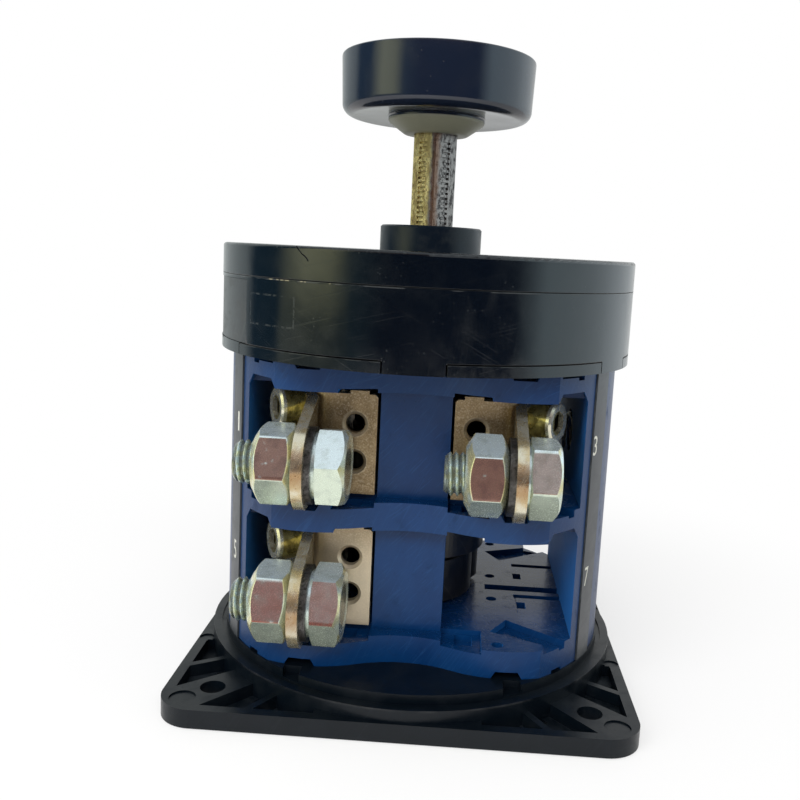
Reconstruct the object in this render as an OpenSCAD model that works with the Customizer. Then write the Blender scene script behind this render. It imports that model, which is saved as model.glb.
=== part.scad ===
// Base-mounted rotary cam switch with two contact decks and three double-break contacts.
// All sizes in millimetres. The origin is at the centre of the base plate's underside, +Z up the shaft.

/* [Base plate] */
// Width of the square base plate
plate_w = 130; // [128:1:150]
// Thickness of the base plate
plate_t = 5.2; // [4.5:0.1:7]
// Radius of the plate's corners
plate_corner_r = 10; // [6:1:14]
// Distance between fixing holes
hole_pitch = 104; // [100:1:108]
// Diameter of the fixing holes
hole_d = 7; // [5:0.5:8]
// Width of the rim around the corner pockets
rim_w = 3; // [2:0.5:4]
// Thickness of the floor under the corner pockets
pocket_floor_t = 1.6; // [1:0.1:3]
// Width of the rib across each corner pocket
pocket_rib_w = 2; // [1:0.5:3]
// Width of the web that carries a fixing hole, where it leaves the ring
corner_web_w = 10.2; // [8:0.1:12]
// Diameter of the round ring on the plate
ring_d = 128; // [127:0.5:128]
// Height of the ring above the plate
ring_rise = 3.5; // [2:0.1:5]
// Width of the ring's flat top
ring_top_w = 2.5; // [1.5:0.5:3]
// Height of the seat disc above the ring
disc_rise = 2.3; // [1.5:0.1:4]
// Depth of the hollow in the underside
underside_depth = 3; // [1:0.5:4]

/* [Contact decks] */
// Thickness of a deck's side wall at its middle
side_wall = 12; // [11.5:0.1:12.5]
// Height of a window between two flanges
window_h = 30.9; // [30:0.1:34]
// Thickness of a flange
flange_t = 8; // [7:0.5:10]
// Distance from the axis to the mean line of the wavy front
wave_mid = 44.6; // [44:0.1:46]
// Half the difference between the wave's crest and its hollow
wave_rise = 3; // [2:0.1:3.5]
// Distance along X from the hollow to a crest
wave_run = 27; // [24:0.5:28]
// Distance between the flat inner walls of a deck
inner_w = 95; // [93:0.5:95]
// Width of the middle blocks
block_w = 20; // [16:0.5:20.5]
// Distance from the axis to a middle block's outer face
block_front = 36.8; // [36:0.1:38]
// Distance from the axis to a notch in a flange's edge
notch_x = 29; // [28:0.5:30]
// Width of a notch at the flange's edge
notch_w = 8.7; // [7:0.1:10]
// Depth of a notch
notch_depth = 2; // [1:0.1:2.5]
// Depth of the pockets and slots in a deck's floor
floor_cut = 2; // [1:0.1:2.5]

/* [Number strips] */
// Angle of a strip from the front or rear, seen from above
strip_angle = 61; // [60:0.5:63]
// Width of a strip
strip_w = 8.4; // [7:0.1:9]
// Depth of a strip's groove in the housings
strip_depth = 1.6; // [1.2:0.1:1.8]

/* [Index drum] */
// How far the drum stands out past the decks
drum_proud = 3.5; // [3:0.1:4.5]
// Thickness of the drum's wall
drum_wall = 5; // [4:0.5:5.5]
// Height of the drum's lower part
index_h = 21.6; // [21:0.1:26]
// Height of the drum's cover
cover_h = 8.9; // [8:0.1:11]
// Thickness of the cover's top
cover_top_t = 4; // [3.5:0.1:5]
// Thickness of the seat plate between decks and drum
seat_t = 3; // [2.5:0.1:4]
// Number of tongues on the seat plate
tongue_count = 6; // [3:1:6]
// Angle that one tongue covers
tongue_angle = 45; // [20:1:45]
// Radius of the rounded upper edge
drum_edge_r = 1; // [0.5:0.1:2]
// Angle that the bare label covers
label_angle = 82; // [40:1:90]
// Height of the bare label
label_h = 17.4; // [10:0.1:17.5]
// Thickness of the bare label
label_t = 0.8; // [0.5:0.1:1.5]

/* [Shaft and knob] */
// Width across the flats of the square shaft
bar_w = 10; // [9:0.5:10.5]
// Width across the rounded corners of the shaft
bar_d = 13.2; // [12:0.1:13.4]
// Diameter of the collar on the drum
collar_d = 31.5; // [28:0.5:34]
// Height of the collar above the drum
collar_rise = 7.7; // [5:0.1:12]
// Length of bare shaft between collar and knob
bare_shaft = 27.8; // [20:0.1:40]
// Depth of the shaft in the knob
shaft_in_knob = 13; // [10:0.5:14]
// Distance between two index notches on the shaft
shaft_notch_pitch = 1.5; // [1.2:0.1:3]
// Depth of an index notch
shaft_notch_depth = 0.6; // [0.3:0.05:0.8]
// Diameter of the knob
knob_d = 58.8; // [50:0.2:70]
// Height of the knob's round body
knob_h = 17.6; // [16:0.1:22]
// Radius of the knob's lower edge
knob_edge_r = 3.2; // [2:0.1:5]
// Diameter of the knob's hub
knob_hub_d = 29.6; // [24:0.2:34]
// Height of the hub's cone below the body
knob_cone_h = 3.6; // [3:0.1:6]
// Depth of the dish in the knob's top
knob_dish = 1; // [0.5:0.1:1.5]

/* [Cams and contacts] */
// Largest diameter of a cam
cam_d = 44; // [42:0.5:45]
// Gap between the two cams of a deck
cam_gap = 1.4; // [1:0.1:4]
// Diameter of the cam hubs that turn in the flanges
cam_hub_d = 24; // [20:0.5:26]
// Travel of a contact bridge from closed to open
contact_travel = 3.5; // [2:0.1:4]
// Angle of the shaft from closed to open
contact_turn = 90; // [60:5:90]
// Distance from the axis to the inner face of a terminal leg
leg_x = 24.5; // [24:0.1:25]
// Thickness of the copper and tinned plates
bar_t = 3; // [2.5:0.1:3.2]
// Length of a contact bridge
bridge_len = 44; // [42:0.5:45]
// Height of a contact bridge
bridge_h = 16; // [12:0.5:18]
// Thickness of a silver contact tip
tip_t = 1.5; // [1:0.1:1.8]
// Width of a silver contact tip
tip_w = 7; // [5:0.5:8]
// Gap left between two closed tips
tip_gap = 0.05; // [0.02:0.01:0.1]
// Mean diameter of a contact spring
spring_d = 10.4; // [9.6:0.1:10.8]
// Wire diameter of a contact spring
spring_wire = 1.3; // [1:0.1:1.4]
// Turns of a contact spring
spring_turns = 5; // [3:1:6]

/* [Terminals] */
// Distance from the axis to the front face of a terminal plate
plate_front = 37.5; // [37:0.1:38]
// Height of a terminal plate's lower edge above the floor
plate_gap = 0.7; // [0.3:0.1:1]
// Distance from the axis to a terminal plate's inner edge
plate_in_x = 10.8; // [10.6:0.1:12]
// Height of the terminal bolt's axis above the floor
bolt_z = 11.2; // [11.1:0.1:12.5]
// Distance from the axis to the terminal bolt's axis
bolt_y = 49.1; // [49.1:0.1:50]
// Thread diameter of the terminal bolt
bolt_d = 12; // [10:1:12]
// Width across the flats of bolt head and nut
bolt_af = 19.6; // [17:0.2:19.6]
// Height of the bolt head
bolt_head_h = 9; // [7.5:0.1:9.2]
// Height of the nut
nut_h = 11.5; // [9:0.1:12]
// Length of the thread that shows past the nut
thread_out = 5.5; // [2:0.1:5.5]
// Radius of the round end of a lug
lug_r = 12.2; // [11.5:0.1:12.6]
// Thickness of the lock washer beside the lug
lock_washer_t = 1.7; // [1.5:0.1:2.5]
// Height of the clamp screw's axis above the floor
clamp_z = 24.2; // [23:0.1:24.4]
// Distance from the axis to the clamp screw's axis
clamp_y = 33; // [32:0.1:33.2]
// Thread diameter of the clamp screw
clamp_d = 8; // [6:1:8]
// Diameter of the clamp screw's head
clamp_head_d = 11.6; // [10:0.2:12]
// Height of the clamp screw's head
clamp_head_h = 6.4; // [5:0.1:7]

/* [Fasteners] */
// Diameter of the tie rods
rod_d = 5; // [4:0.5:5]
// Distance from the axis to the front and rear rods
rod_front = 30; // [29:0.5:31]
// Diameter of the cover screws
cover_screw_d = 4; // [3:0.5:4]

/* [Hidden] */
$fn = 96;

eps = 0.01;
run_gap = 0.1;
slide_gap = 0.3;
face_gap = 0.3;

// Levels from the underside up
ring_z = plate_t + ring_rise;
seat_z = ring_z + disc_rise;
floor_1 = seat_z + flange_t;
deck_pitch = window_h + flange_t;
floor_2 = floor_1 + deck_pitch;
drum_z = floor_2 + deck_pitch;
index_floor_z = drum_z + seat_t;
index_floor_t = 3;
star_z = index_floor_z + index_floor_t + 0.5;
star_t = 8;
cover_z = drum_z + index_h;
drum_top = cover_z + cover_h;
collar_top = drum_top + collar_rise;
knob_z = collar_top + bare_shaft;
knob_body_z = knob_z + knob_cone_h + 1;
knob_top = knob_body_z + knob_h;
shaft_bottom = seat_z + face_gap;
shaft_top = knob_z + shaft_in_knob;
function floor_z(deck) = deck == 1 ? floor_1 : floor_2;

// Radii
ring_r = ring_d / 2;
disc_r = ring_r - ring_top_w - 1.5;
body_r = inner_w / 2 + side_wall;
drum_r = body_r + drum_proud;
drum_in_r = drum_r - drum_wall;
rod_side = inner_w / 2 + rod_d / 2 + 3.1;
cam_r = cam_d / 2;
cam_low_r = cam_r - contact_travel;
hub_r = cam_hub_d / 2;
cavity_r = cam_r + 1.5;
wave_r = (pow(wave_run / 2, 2) + pow(wave_rise, 2)) / (2 * wave_rise);

// Places along X, counted outwards from the axis
leg_out_x = leg_x + bar_t;
lug_out_x = leg_out_x + bar_t;
tip_face_x = leg_out_x + tip_t;
bridge_in_x = tip_face_x + tip_gap + tip_t;
bridge_out_x = bridge_in_x + bar_t;
spring_seat_x = inner_w / 2 + 2;
nose_x = cam_low_r + face_gap;

// Three contacts: number, deck and side of each, -1 on the left
contact_deck = [2, 2, 1];
contact_side = [-1, 1, -1];
function sides_of(deck) = [for (i = [0 : 2]) if (contact_deck[i] == deck) contact_side[i]];
// Six terminals: 1, 3 and 5 at the front, 2, 4 and 6 at the rear
function terminal_deck(n) = contact_deck[ceil(n / 2) - 1];
function terminal_side(n) = contact_side[ceil(n / 2) - 1];
function terminal_end(n) = n % 2 == 1 ? -1 : 1;
// Cam and nose levels above a deck's floor
lower_cam_z = 1.5;
cam_t = (window_h - lower_cam_z - 2 - cam_gap) / 2;
upper_cam_z = lower_cam_z + cam_t + cam_gap;
function nose_z(side) = side > 0 ? lower_cam_z : upper_cam_z;
contact_z = window_h / 2;

housing_blue = [0.10, 0.20, 0.42];
moulded_black = [0.07, 0.08, 0.09];
strip_grey = [0.25, 0.27, 0.27];
copper_tan = [0.55, 0.44, 0.33];
tinned = [0.66, 0.60, 0.50];
zinc_steel = [0.72, 0.74, 0.73];
yellow_zinc = [0.62, 0.55, 0.30];
silver_tip = [0.80, 0.80, 0.78];
dark_steel = [0.35, 0.35, 0.36];
spring_steel = [0.55, 0.56, 0.58];
contact_cream = [0.80, 0.76, 0.66];

// Helpers

// Points at radius r, between two angles
module sector(r, a0, a1) {
    mid = (a0 + a1) / 2;
    far = r / cos((a1 - a0) / 4) + 1;
    polygon([
        [0, 0],
        far * [cos(a0), sin(a0)],
        far / cos((a1 - a0) / 4) * [cos((a0 + mid) / 2), sin((a0 + mid) / 2)],
        far * [cos(mid), sin(mid)],
        far / cos((a1 - a0) / 4) * [cos((a1 + mid) / 2), sin((a1 + mid) / 2)],
        far * [cos(a1), sin(a1)]
    ]);
}

module tube(r_out, r_in, h) {
    difference() {
        cylinder(r = r_out, h = h);
        translate([0, 0, -eps]) cylinder(r = r_in, h = h + 2 * eps);
    }
}

// The same children on the left and right, and at the front and rear
module four_ways() {
    for (mx = [0, 1]) mirror([mx, 0, 0])
        for (my = [0, 1]) mirror([0, my, 0]) children();
}

module rod_places() {
    for (s = [-1, 1]) {
        translate([0, s * rod_front, 0]) children();
        translate([s * rod_side, 0, 0]) children();
    }
}

// Square shaft section with rounded corners, a corner to the front
module shaft_section(gap = 0) {
    intersection() {
        rotate(45) square(bar_w + 2 * gap, center = true);
        circle(d = bar_d + 2 * gap);
    }
}

// Hexagon with chamfered corners on both faces, or on the top face only
module hex_blank(af, h, both = true) {
    corner_r = af / sqrt(3);
    cham = (corner_r - af / 2) * 0.62;
    low = both ? cham : 0;
    intersection() {
        cylinder(r = corner_r, h = h, $fn = 6);
        rotate_extrude() polygon([
            [0, 0],
            [both ? af / 2 - 0.2 : corner_r, 0],
            [corner_r, low],
            [corner_r, h - cham],
            [af / 2 - 0.2, h],
            [0, h]
        ]);
    }
}

// Coil spring along +Z from 0 to length
module coil_spring(mean_d, wire, turns, length) {
    steps = 12;
    sides = 6;
    rings = turns * steps;
    rise = length - wire;
    points = [
        for (i = [0 : rings]) for (k = [0 : sides - 1])
            let (a = 360 * i / steps, b = 360 * k / sides, r = mean_d / 2 + wire / 2 * cos(b))
            [r * cos(a), r * sin(a), wire / 2 + rise * i / rings + wire / 2 * sin(b)]
    ];
    walls = [
        for (i = [0 : rings - 1]) for (k = [0 : sides - 1])
            [i * sides + k, i * sides + (k + 1) % sides, (i + 1) * sides + (k + 1) % sides, (i + 1) * sides + k]
    ];
    first = [for (k = [sides - 1 : -1 : 0]) k];
    last = [for (k = [0 : sides - 1]) rings * sides + k];
    polyhedron(points, concat([first, last], walls), convexity = 8);
}

// Turns children so that their +Z points outwards along X on the given side
module outwards(side) {
    rotate([0, side * 90, 0]) children();
}

// Base

module plate_outline(w, r) {
    square([w - 2 * r, w], center = true);
    square([w, w - 2 * r], center = true);
    for (x = [-1, 1], y = [-1, 1]) translate([x, y] * (w / 2 - r)) circle(r);
}

// Pocket between ring, rim and corner web, in the corner at +X +Y
module corner_pocket() {
    inside = plate_w / 2 - rim_w;
    start = inside * 0.36;
    far = plate_w;
    difference() {
        translate([start, start]) square(inside - start);
        circle(ring_r);
        rotate(45) polygon([
            [ring_r / 2, -corner_web_w / 2], [ring_r, -corner_web_w / 2], [far, -corner_web_w],
            [far, corner_web_w], [ring_r, corner_web_w / 2], [ring_r / 2, corner_web_w / 2]
        ]);
        for (m = [0, 1]) rotate(m * 90) mirror([0, m, 0])
            rotate(32.6) translate([ring_r - 4, -pocket_rib_w / 2]) square([30, pocket_rib_w]);
    }
}

module base_plate() {
    color(moulded_black)
    difference() {
        union() {
            linear_extrude(plate_t) plate_outline(plate_w, plate_corner_r);
            cylinder(r = ring_r, h = ring_z);
            cylinder(r = disc_r, h = seat_z);
        }
        // Groove between the ring's flat top and the seat disc
        translate([0, 0, ring_z - 0.5]) tube(ring_r - ring_top_w, disc_r, 2);
        four_ways() {
            translate([0, 0, pocket_floor_t]) linear_extrude(plate_t) corner_pocket();
            // Drain slots along the ring wall
            translate([0, 0, -eps]) linear_extrude(plate_t) intersection() {
                corner_pocket();
                circle(ring_r + 2.4);
                union() {
                    sector(ring_r + 3, 52, 56);
                    sector(ring_r + 3, 59, 64);
                    sector(ring_r + 3, 34, 38);
                    sector(ring_r + 3, 26, 31);
                }
            }
            translate([hole_pitch / 2, hole_pitch / 2, -eps]) cylinder(d = hole_d, h = plate_t + 2 * eps);
            // Moulding marks beside the holes and on the rim
            translate([1, 1, 0] * (hole_pitch / 2 + 6.5) + [0, 0, plate_t - 0.4]) cylinder(d = 7.2, h = 1);
            translate([plate_w / 2 - 2.4, ring_r / 3, plate_t - 0.4]) cylinder(d = 4.4, h = 1);
            // Gaps in the seat disc below the flange notches
            translate([notch_x - 1, disc_r - 12, ring_z]) cube([5, 12, 5]);
            // Ribbed hollow in the underside
            translate([0, 0, -eps]) linear_extrude(underside_depth) difference() {
                intersection() {
                    circle(ring_r - 8);
                    translate([1.5, 1.5]) square(ring_r);
                }
                circle(14);
                rotate(45) translate([0, -1.5]) square([ring_r, 3]);
                translate([0, rod_front]) circle(8);
                translate([rod_side, 0]) circle(8);
            }
        }
        rod_places() {
            translate([0, 0, -eps]) cylinder(d = 10.4, h = 4.6);
            cylinder(d = rod_d + 0.4, h = 40);
        }
    }
}

// Decks

// Round body with a wavy front and rear
module deck_outline() {
    intersection() {
        circle(body_r);
        difference() {
            union() {
                square([2 * body_r + 2, 2 * wave_mid], center = true);
                for (x = [-1, 1], y = [-1, 1])
                    translate([x * wave_run, y * (wave_mid + wave_rise - wave_r)]) circle(wave_r);
            }
            for (y = [-1, 1]) translate([0, y * (wave_mid - wave_rise + wave_r)]) circle(wave_r);
        }
    }
}

// Side walls with flat inner faces, and the two middle blocks
module deck_walls() {
    difference() {
        circle(body_r);
        square([inner_w, 2 * body_r + 2], center = true);
    }
    for (y = [-1, 1]) difference() {
        translate([-block_w / 2, min(y * block_front, y * cavity_r * 0.7)])
            square([block_w, block_front - cavity_r * 0.7]);
        circle(cavity_r);
    }
}

// Notch in the upper or lower edge of a flange
module edge_notch() {
    top_w = notch_w * 0.72;
    translate([0, wave_mid + wave_rise + 2, 0]) rotate([90, 0, 0])
        linear_extrude(8) polygon([
            [-notch_w / 2, -eps], [notch_w / 2, -eps], [top_w / 2, notch_depth], [-top_w / 2, notch_depth]
        ]);
}

// Small shallow notch in the flange's rim, outside the large one
module rim_notch() {
    rotate(-47) translate([-2.2, body_r - 1.6, -eps]) cube([4.4, 3, 0.9]);
}

// Recesses in a ceiling's front: a shallow one above the terminal plate, a deep one in the outer corner
module ceiling_cuts() {
    translate([plate_in_x - 0.4, plate_front - 4, -eps]) cube([10.4, body_r, 1.1]);
    translate([0, body_r, 0]) rotate([90, 0, 0]) linear_extrude(body_r - block_front + 4)
        polygon([[38.2, -eps], [39.5, 2.6], [46, 2.6], [47.1, 0.4], [47.1, -eps]]);
}

// Guide slots, pockets and plate seats that every deck floor has, cut downwards from z = 0
module floor_cuts() {
    for (mx = [0, 1]) mirror([mx, 0, 0]) {
        translate([cavity_r, -2.2, -floor_cut]) cube([inner_w / 2 - cavity_r, 4.4, floor_cut + 1]);
        translate([32.6, -8, -floor_cut]) cube([inner_w / 2 - 32.6, 2.8, floor_cut + 1]);
        translate([33.4, 20.4, -floor_cut]) cube([inner_w / 2 - 33.4, 2.8, floor_cut + 1]);
        translate([33.3, 8.6, -floor_cut]) cube([2.7, 5, floor_cut + 1]);
        translate([33.3, -16.5, -floor_cut]) cube([2.7, 5, floor_cut + 1]);
        // Shallow score line beside the square pocket
        translate([32.9, -20, -0.3]) cube([0.4, 12, 1]);
        for (y = [-1, 1]) {
            translate([25.4, y * 10, -floor_cut]) cylinder(d = 3.4, h = floor_cut + 1);
            // Seat below a terminal plate
            translate([plate_in_x - 0.6, y > 0 ? block_front - 2 : -body_r, -1.4])
                cube([notch_x - notch_w - plate_in_x + 2, body_r - block_front + 2, 3]);
            translate([14.1, y > 0 ? 35.4 : -42, -3.2]) cube([5, 6.6, 3]);
            // Triangular pocket with a steep slanting wall, open to the rim at its outer end
            translate([0, 0, -floor_cut]) linear_extrude(floor_cut + 1)
                polygon([[29.3, y * 25.8], [24.2, y * 34.9], [39, y * 41.5], [47.2, y * 39.2]]);
            translate([0, 0, -1.2]) linear_extrude(3)
                polygon([[39, y * 41.3], [39, y * 50], [52, y * 50], [47.2, y * 39]]);
            translate([26.2, y * 43.4, -1]) cylinder(d = 3.4, h = 3);
        }
    }
}

module strip_grooves(h) {
    for (a = [-1, 1], f = [0, 180]) rotate(f + a * strip_angle)
        translate([-strip_w / 2 - 0.3, -body_r - 2, -eps]) cube([strip_w + 0.6, strip_depth + 2, h + 2 * eps]);
}

module bottom_flange() {
    color(housing_blue)
    translate([0, 0, seat_z])
    difference() {
        linear_extrude(flange_t) deck_outline();
        translate([0, 0, -eps]) cylinder(r = hub_r + run_gap, h = flange_t + 2 * eps);
        translate([0, 0, flange_t]) floor_cuts();
        four_ways() {
            translate([notch_x, 0, 0]) edge_notch();
            rim_notch();
        }
        // Room for the two lower lugs, on the left only
        translate([0, 0, flange_t]) mirror([0, 0, 1])
            for (y = [0, 1]) mirror([0, y, 0]) translate([-notch_x, 0, 0]) edge_notch();
        strip_grooves(flange_t);
        rod_places() translate([0, 0, -eps]) cylinder(d = rod_d + 0.4, h = flange_t + 2 * eps);
    }
}

// One deck: walls and middle blocks below, flange above
module deck_housing(sides) {
    color(housing_blue)
    difference() {
        union() {
            linear_extrude(window_h) deck_walls();
            translate([0, 0, window_h]) linear_extrude(flange_t) deck_outline();
        }
        translate([0, 0, window_h - 5]) cylinder(r = hub_r + run_gap, h = flange_t + 10);
        translate([0, 0, window_h]) four_ways() ceiling_cuts();
        translate([0, 0, deck_pitch]) floor_cuts();
        translate([0, 0, deck_pitch]) four_ways() mirror([0, 0, 1]) {
            translate([notch_x, 0, 0]) edge_notch();
            rim_notch();
        }
        // Guide slots in the ceiling and spring pockets
        for (s = [-1, 1]) {
            translate([s > 0 ? cavity_r : -inner_w / 2, -2.2, window_h - eps])
                cube([inner_w / 2 - cavity_r, 4.4, floor_cut]);
        }
        for (s = sides) translate([s * (inner_w / 2 - 1), 0, contact_z]) outwards(s) cylinder(d = 13.4, h = 3);
        strip_grooves(deck_pitch);
        rod_places() translate([0, 0, -eps]) cylinder(d = rod_d + 0.4, h = deck_pitch + 2 * eps);
    }
}

module deck_1_housing() { translate([0, 0, floor_1]) deck_housing(sides_of(1)); }
module deck_2_housing() { translate([0, 0, floor_2]) deck_housing(sides_of(2)); }

module number_strip(a) {
    color(strip_grey)
    translate([0, 0, seat_z])
    intersection() {
        rotate(a) translate([-strip_w / 2, -body_r - 2, 0])
            cube([strip_w, strip_depth + 1.95, drum_z - seat_z]);
        cylinder(r = body_r + 0.5, h = drum_z - seat_z, $fn = 360);
    }
}

module number_strip_front_left() { number_strip(-strip_angle); }
module number_strip_front_right() { number_strip(strip_angle); }
module number_strip_rear_left() { number_strip(180 + strip_angle); }
module number_strip_rear_right() { number_strip(180 - strip_angle); }

// Index drum

module tongues(gap, reach) {
    step = 360 / tongue_count;
    for (i = [0 : tongue_count - 1])
        sector(reach, i * step - tongue_angle / 2 - gap, i * step + tongue_angle / 2 + gap);
}

module seat_plate() {
    color(moulded_black)
    translate([0, 0, drum_z])
    difference() {
        union() {
            cylinder(r = drum_in_r - 0.2, h = seat_t);
            linear_extrude(seat_t) intersection() {
                circle(drum_r);
                tongues(0, drum_r);
            }
        }
        translate([0, 0, -eps]) cylinder(r = hub_r + run_gap, h = seat_t + 2 * eps);
        rod_places() translate([0, 0, -eps]) cylinder(d = rod_d + 0.4, h = seat_t + 2 * eps);
    }
}

// Places of the four cover screws
module cover_screw_places() {
    for (i = [0 : 3]) rotate(20 + i * 90) translate([drum_in_r - 6, 0, 0]) children();
}

detent_turn = [45, 225];
roller_r = 3;
star_r = 23;
detent_x = star_r + face_gap + roller_r;
carrier_len = 9;
detent_spring_x = detent_x + carrier_len;
detent_wall_x = drum_in_r - 6;

module index_housing() {
    up_z = seat_t + index_floor_t;
    color(moulded_black)
    translate([0, 0, drum_z])
    difference() {
        union() {
            cylinder(r = drum_r, h = index_h);
        }
        translate([0, 0, -eps]) cylinder(r = drum_in_r, h = seat_t + eps);
        translate([0, 0, -eps]) linear_extrude(seat_t + 0.1 + eps) difference() {
            tongues(0.25, drum_r);
            circle(drum_in_r - 1);
        }
        translate([0, 0, seat_t - eps]) cylinder(r = hub_r + run_gap, h = index_floor_t + 2 * eps);
        // Room above the floor, with screw columns and detent rails left standing
        translate([0, 0, up_z]) linear_extrude(index_h) difference() {
            circle(drum_in_r);
            cover_screw_places() circle(4.5);
            for (a = detent_turn) rotate(a) {
                for (s = [-1, 1]) translate([detent_x - 1, s * 7.3 - 1.5]) square([detent_wall_x - detent_x + 1, 3]);
                translate([detent_wall_x, -8.8]) square([3, 17.6]);
            }
        }
        cover_screw_places() translate([0, 0, up_z]) cylinder(d = cover_screw_d + 0.2, h = index_h);
        rod_places() translate([0, 0, seat_t - eps]) cylinder(d = rod_d + 0.4, h = index_floor_t + 2 * eps);
        // Recess for the bare label
        translate([0, 0, seat_t + 0.2]) linear_extrude(label_h + 0.2) difference() {
            sector(drum_r, 180 - label_angle / 2 - 0.1, 180 + label_angle / 2 + 0.1);
            circle(drum_r - label_t - 0.2);
        }
    }
}

module label_plate() {
    color(moulded_black)
    translate([0, 0, drum_z + seat_t + 0.3])
    linear_extrude(label_h) intersection() {
        difference() {
            circle(drum_r - 0.2);
            circle(drum_r - label_t - 0.2);
        }
        sector(drum_r, 180 - label_angle / 2, 180 + label_angle / 2);
    }
}

module index_cover() {
    boss_r = collar_d / 2 + 5;
    color(moulded_black)
    translate([0, 0, cover_z])
    difference() {
        union() {
            rotate_extrude() {
                square([drum_r - drum_edge_r, cover_h]);
                square([drum_r, cover_h - drum_edge_r]);
                translate([drum_r - drum_edge_r, cover_h - drum_edge_r]) circle(drum_edge_r);
            }
            translate([0, 0, -2]) cylinder(r = drum_in_r - 0.1, h = 2 + eps);
        }
        translate([0, 0, -2 - eps]) linear_extrude(cover_h - cover_top_t + 2) difference() {
            circle(drum_in_r - 2);
            circle(boss_r);
        }
        translate([0, 0, -3]) cylinder(r = boss_r + eps, h = 3);
        translate([0, 0, -3]) cylinder(d = collar_d + 2 * run_gap, h = cover_h + 4);
        // Seats for the cover screws and room for the housing's screw columns
        cover_screw_places() {
            translate([0, 0, -3]) cylinder(d = cover_screw_d + 0.4, h = cover_h + 4);
            translate([0, 0, cover_h - 2.6]) cylinder(d = cover_screw_d * 2 + 0.6, h = 4);
            translate([0, 0, -3]) cylinder(r = 4.8, h = 3);
        }
    }
}

module cover_screws() {
    color(dark_steel)
    cover_screw_places() translate([0, 0, drum_top - 2.6]) difference() {
        union() {
            rotate_extrude() polygon([
                [0, 0], [cover_screw_d, 0], [cover_screw_d, 1.6], [cover_screw_d - 0.8, 2.3], [0, 2.3]
            ]);
            translate([0, 0, -cover_h]) cylinder(d = cover_screw_d, h = cover_h + eps);
        }
        for (a = [0, 90]) rotate(a) translate([-2, -0.4, 1.2]) cube([4, 0.8, 2]);
    }
}

module tie_rods() {
    color(zinc_steel)
    rod_places() {
        translate([0, 0, 4.5]) mirror([0, 0, 1]) hex_blank(8, 3.5, false);
        translate([0, 0, 4.5 - eps]) cylinder(d = rod_d, h = index_floor_z + index_floor_t + 5 - 4.5);
    }
}

module tie_rod_nuts() {
    color(zinc_steel)
    rod_places() translate([0, 0, index_floor_z + index_floor_t]) difference() {
        hex_blank(8, 4);
        translate([0, 0, -eps]) cylinder(d = rod_d + 0.1, h = 5);
    }
}

// Terminals, built for the right front side and mirrored into place

module at_terminal(n) {
    translate([0, 0, floor_z(terminal_deck(n))])
        mirror([terminal_side(n) < 0 ? 1 : 0, 0, 0])
            mirror([0, terminal_end(n) > 0 ? 1 : 0, 0]) children();
}

// The lug's tail and the leg behind it lean outwards, so the clamp screw's head is turned to the front
tail_turn = 30;
tail_bend_y = clamp_y + (clamp_head_d / 2 + 0.2) * cos(tail_turn);
tail_end_y = clamp_y - 6.5;
tail_t = bar_t / cos(tail_turn);
// Distance from the axis to the tail's outer face, for a distance y from the middle plane
function tail_x(y) = lug_out_x + (tail_bend_y - y) * tan(tail_turn);

// Clamp screw axis, with z = 0 on the tail's outer face and +Z outwards
module on_clamp_axis() {
    translate([tail_x(clamp_y), -clamp_y, clamp_z]) rotate([0, 90, -tail_turn]) children();
}

plate_top = window_h - 1.6;
plate_tab_top = window_h - 0.6;
plate_tab_w = 5.3;
plate_tab_x = plate_in_x + 2.5;

// Copper angle seen from above: front, bend, leaning leg, and a straight end for the fixed tip
module plate_plan() {
    leg_end = tip_centre_y - tip_w / 2 - 1;
    jog_y = bridge_len / 2 + 0.3;
    bend_r = 8;
    bend_thin = 0.04;
    normal = [cos(tail_turn), -sin(tail_turn)];
    bend_y = plate_front - bend_r;
    centre = [tail_x(bend_y) - tail_t - bend_r / cos(tail_turn), -bend_y];
    past = [cos(tail_turn - 2), -sin(tail_turn - 2)];
    translate([plate_in_x, -plate_front]) square([centre[0] - plate_in_x, bar_t]);
    // The bend is a hair thinner than the two bars and reaches a little into them
    intersection() {
        difference() {
            translate(centre) circle(bend_r - bend_thin);
            translate(centre) circle(bend_r - bar_t + bend_thin);
        }
        polygon([centre, centre + 2 * bend_r * past, centre + [2 * bend_r, -3 * bend_r], centre + [-0.3, -3 * bend_r]]);
    }
    polygon([
        centre + bend_r * normal,
        [tail_x(tail_end_y) - tail_t, -tail_end_y],
        [leg_out_x, -jog_y],
        [leg_out_x, -leg_end],
        [leg_x, -leg_end],
        [leg_x, -jog_y - 1.5],
        [tail_x(tail_end_y + 0.8) - 2 * tail_t, -tail_end_y - 0.8],
        centre + (bend_r - bar_t) * normal
    ]);
}

// Copper angle: a plate across the window, bent back into a leg that carries the fixed tip
module terminal_plate() {
    color(copper_tan)
    difference() {
        union() {
            translate([0, 0, plate_gap]) linear_extrude(plate_top - plate_gap) plate_plan();
            // Tab on the upper edge, and foot below the leg
            translate([plate_tab_x, -plate_front, plate_top - eps])
                cube([plate_tab_w, bar_t, plate_tab_top - plate_top + eps]);
            translate([leg_x, -tip_centre_y - 3, 0]) cube([bar_t, 6, 2]);
        }
        // Threaded holes for control wires, with countersunk mouths
        for (z = [10, 20.8]) translate([17, -plate_front, z]) rotate([-90, 0, 0]) {
            translate([0, 0, -eps]) cylinder(d = 5.4, h = bar_t + 2 * eps);
            translate([0, 0, -eps]) cylinder(d1 = 7.2, d2 = 5.4, h = 0.9);
        }
        on_clamp_axis() translate([0, 0, -2 * bar_t - 1]) cylinder(d = clamp_d + 0.2, h = bar_t + 2);
        // Clipped corner beside the middle block
        translate([plate_in_x - eps, -plate_front - eps, plate_top - 0.8]) rotate([0, -45, 0])
            translate([-2, 0, 0]) cube([3, bar_t + 1, 3]);
    }
}

tip_centre_y = 17;
lug_back_y = 24;
lug_top = window_h - 1.4;

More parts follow.
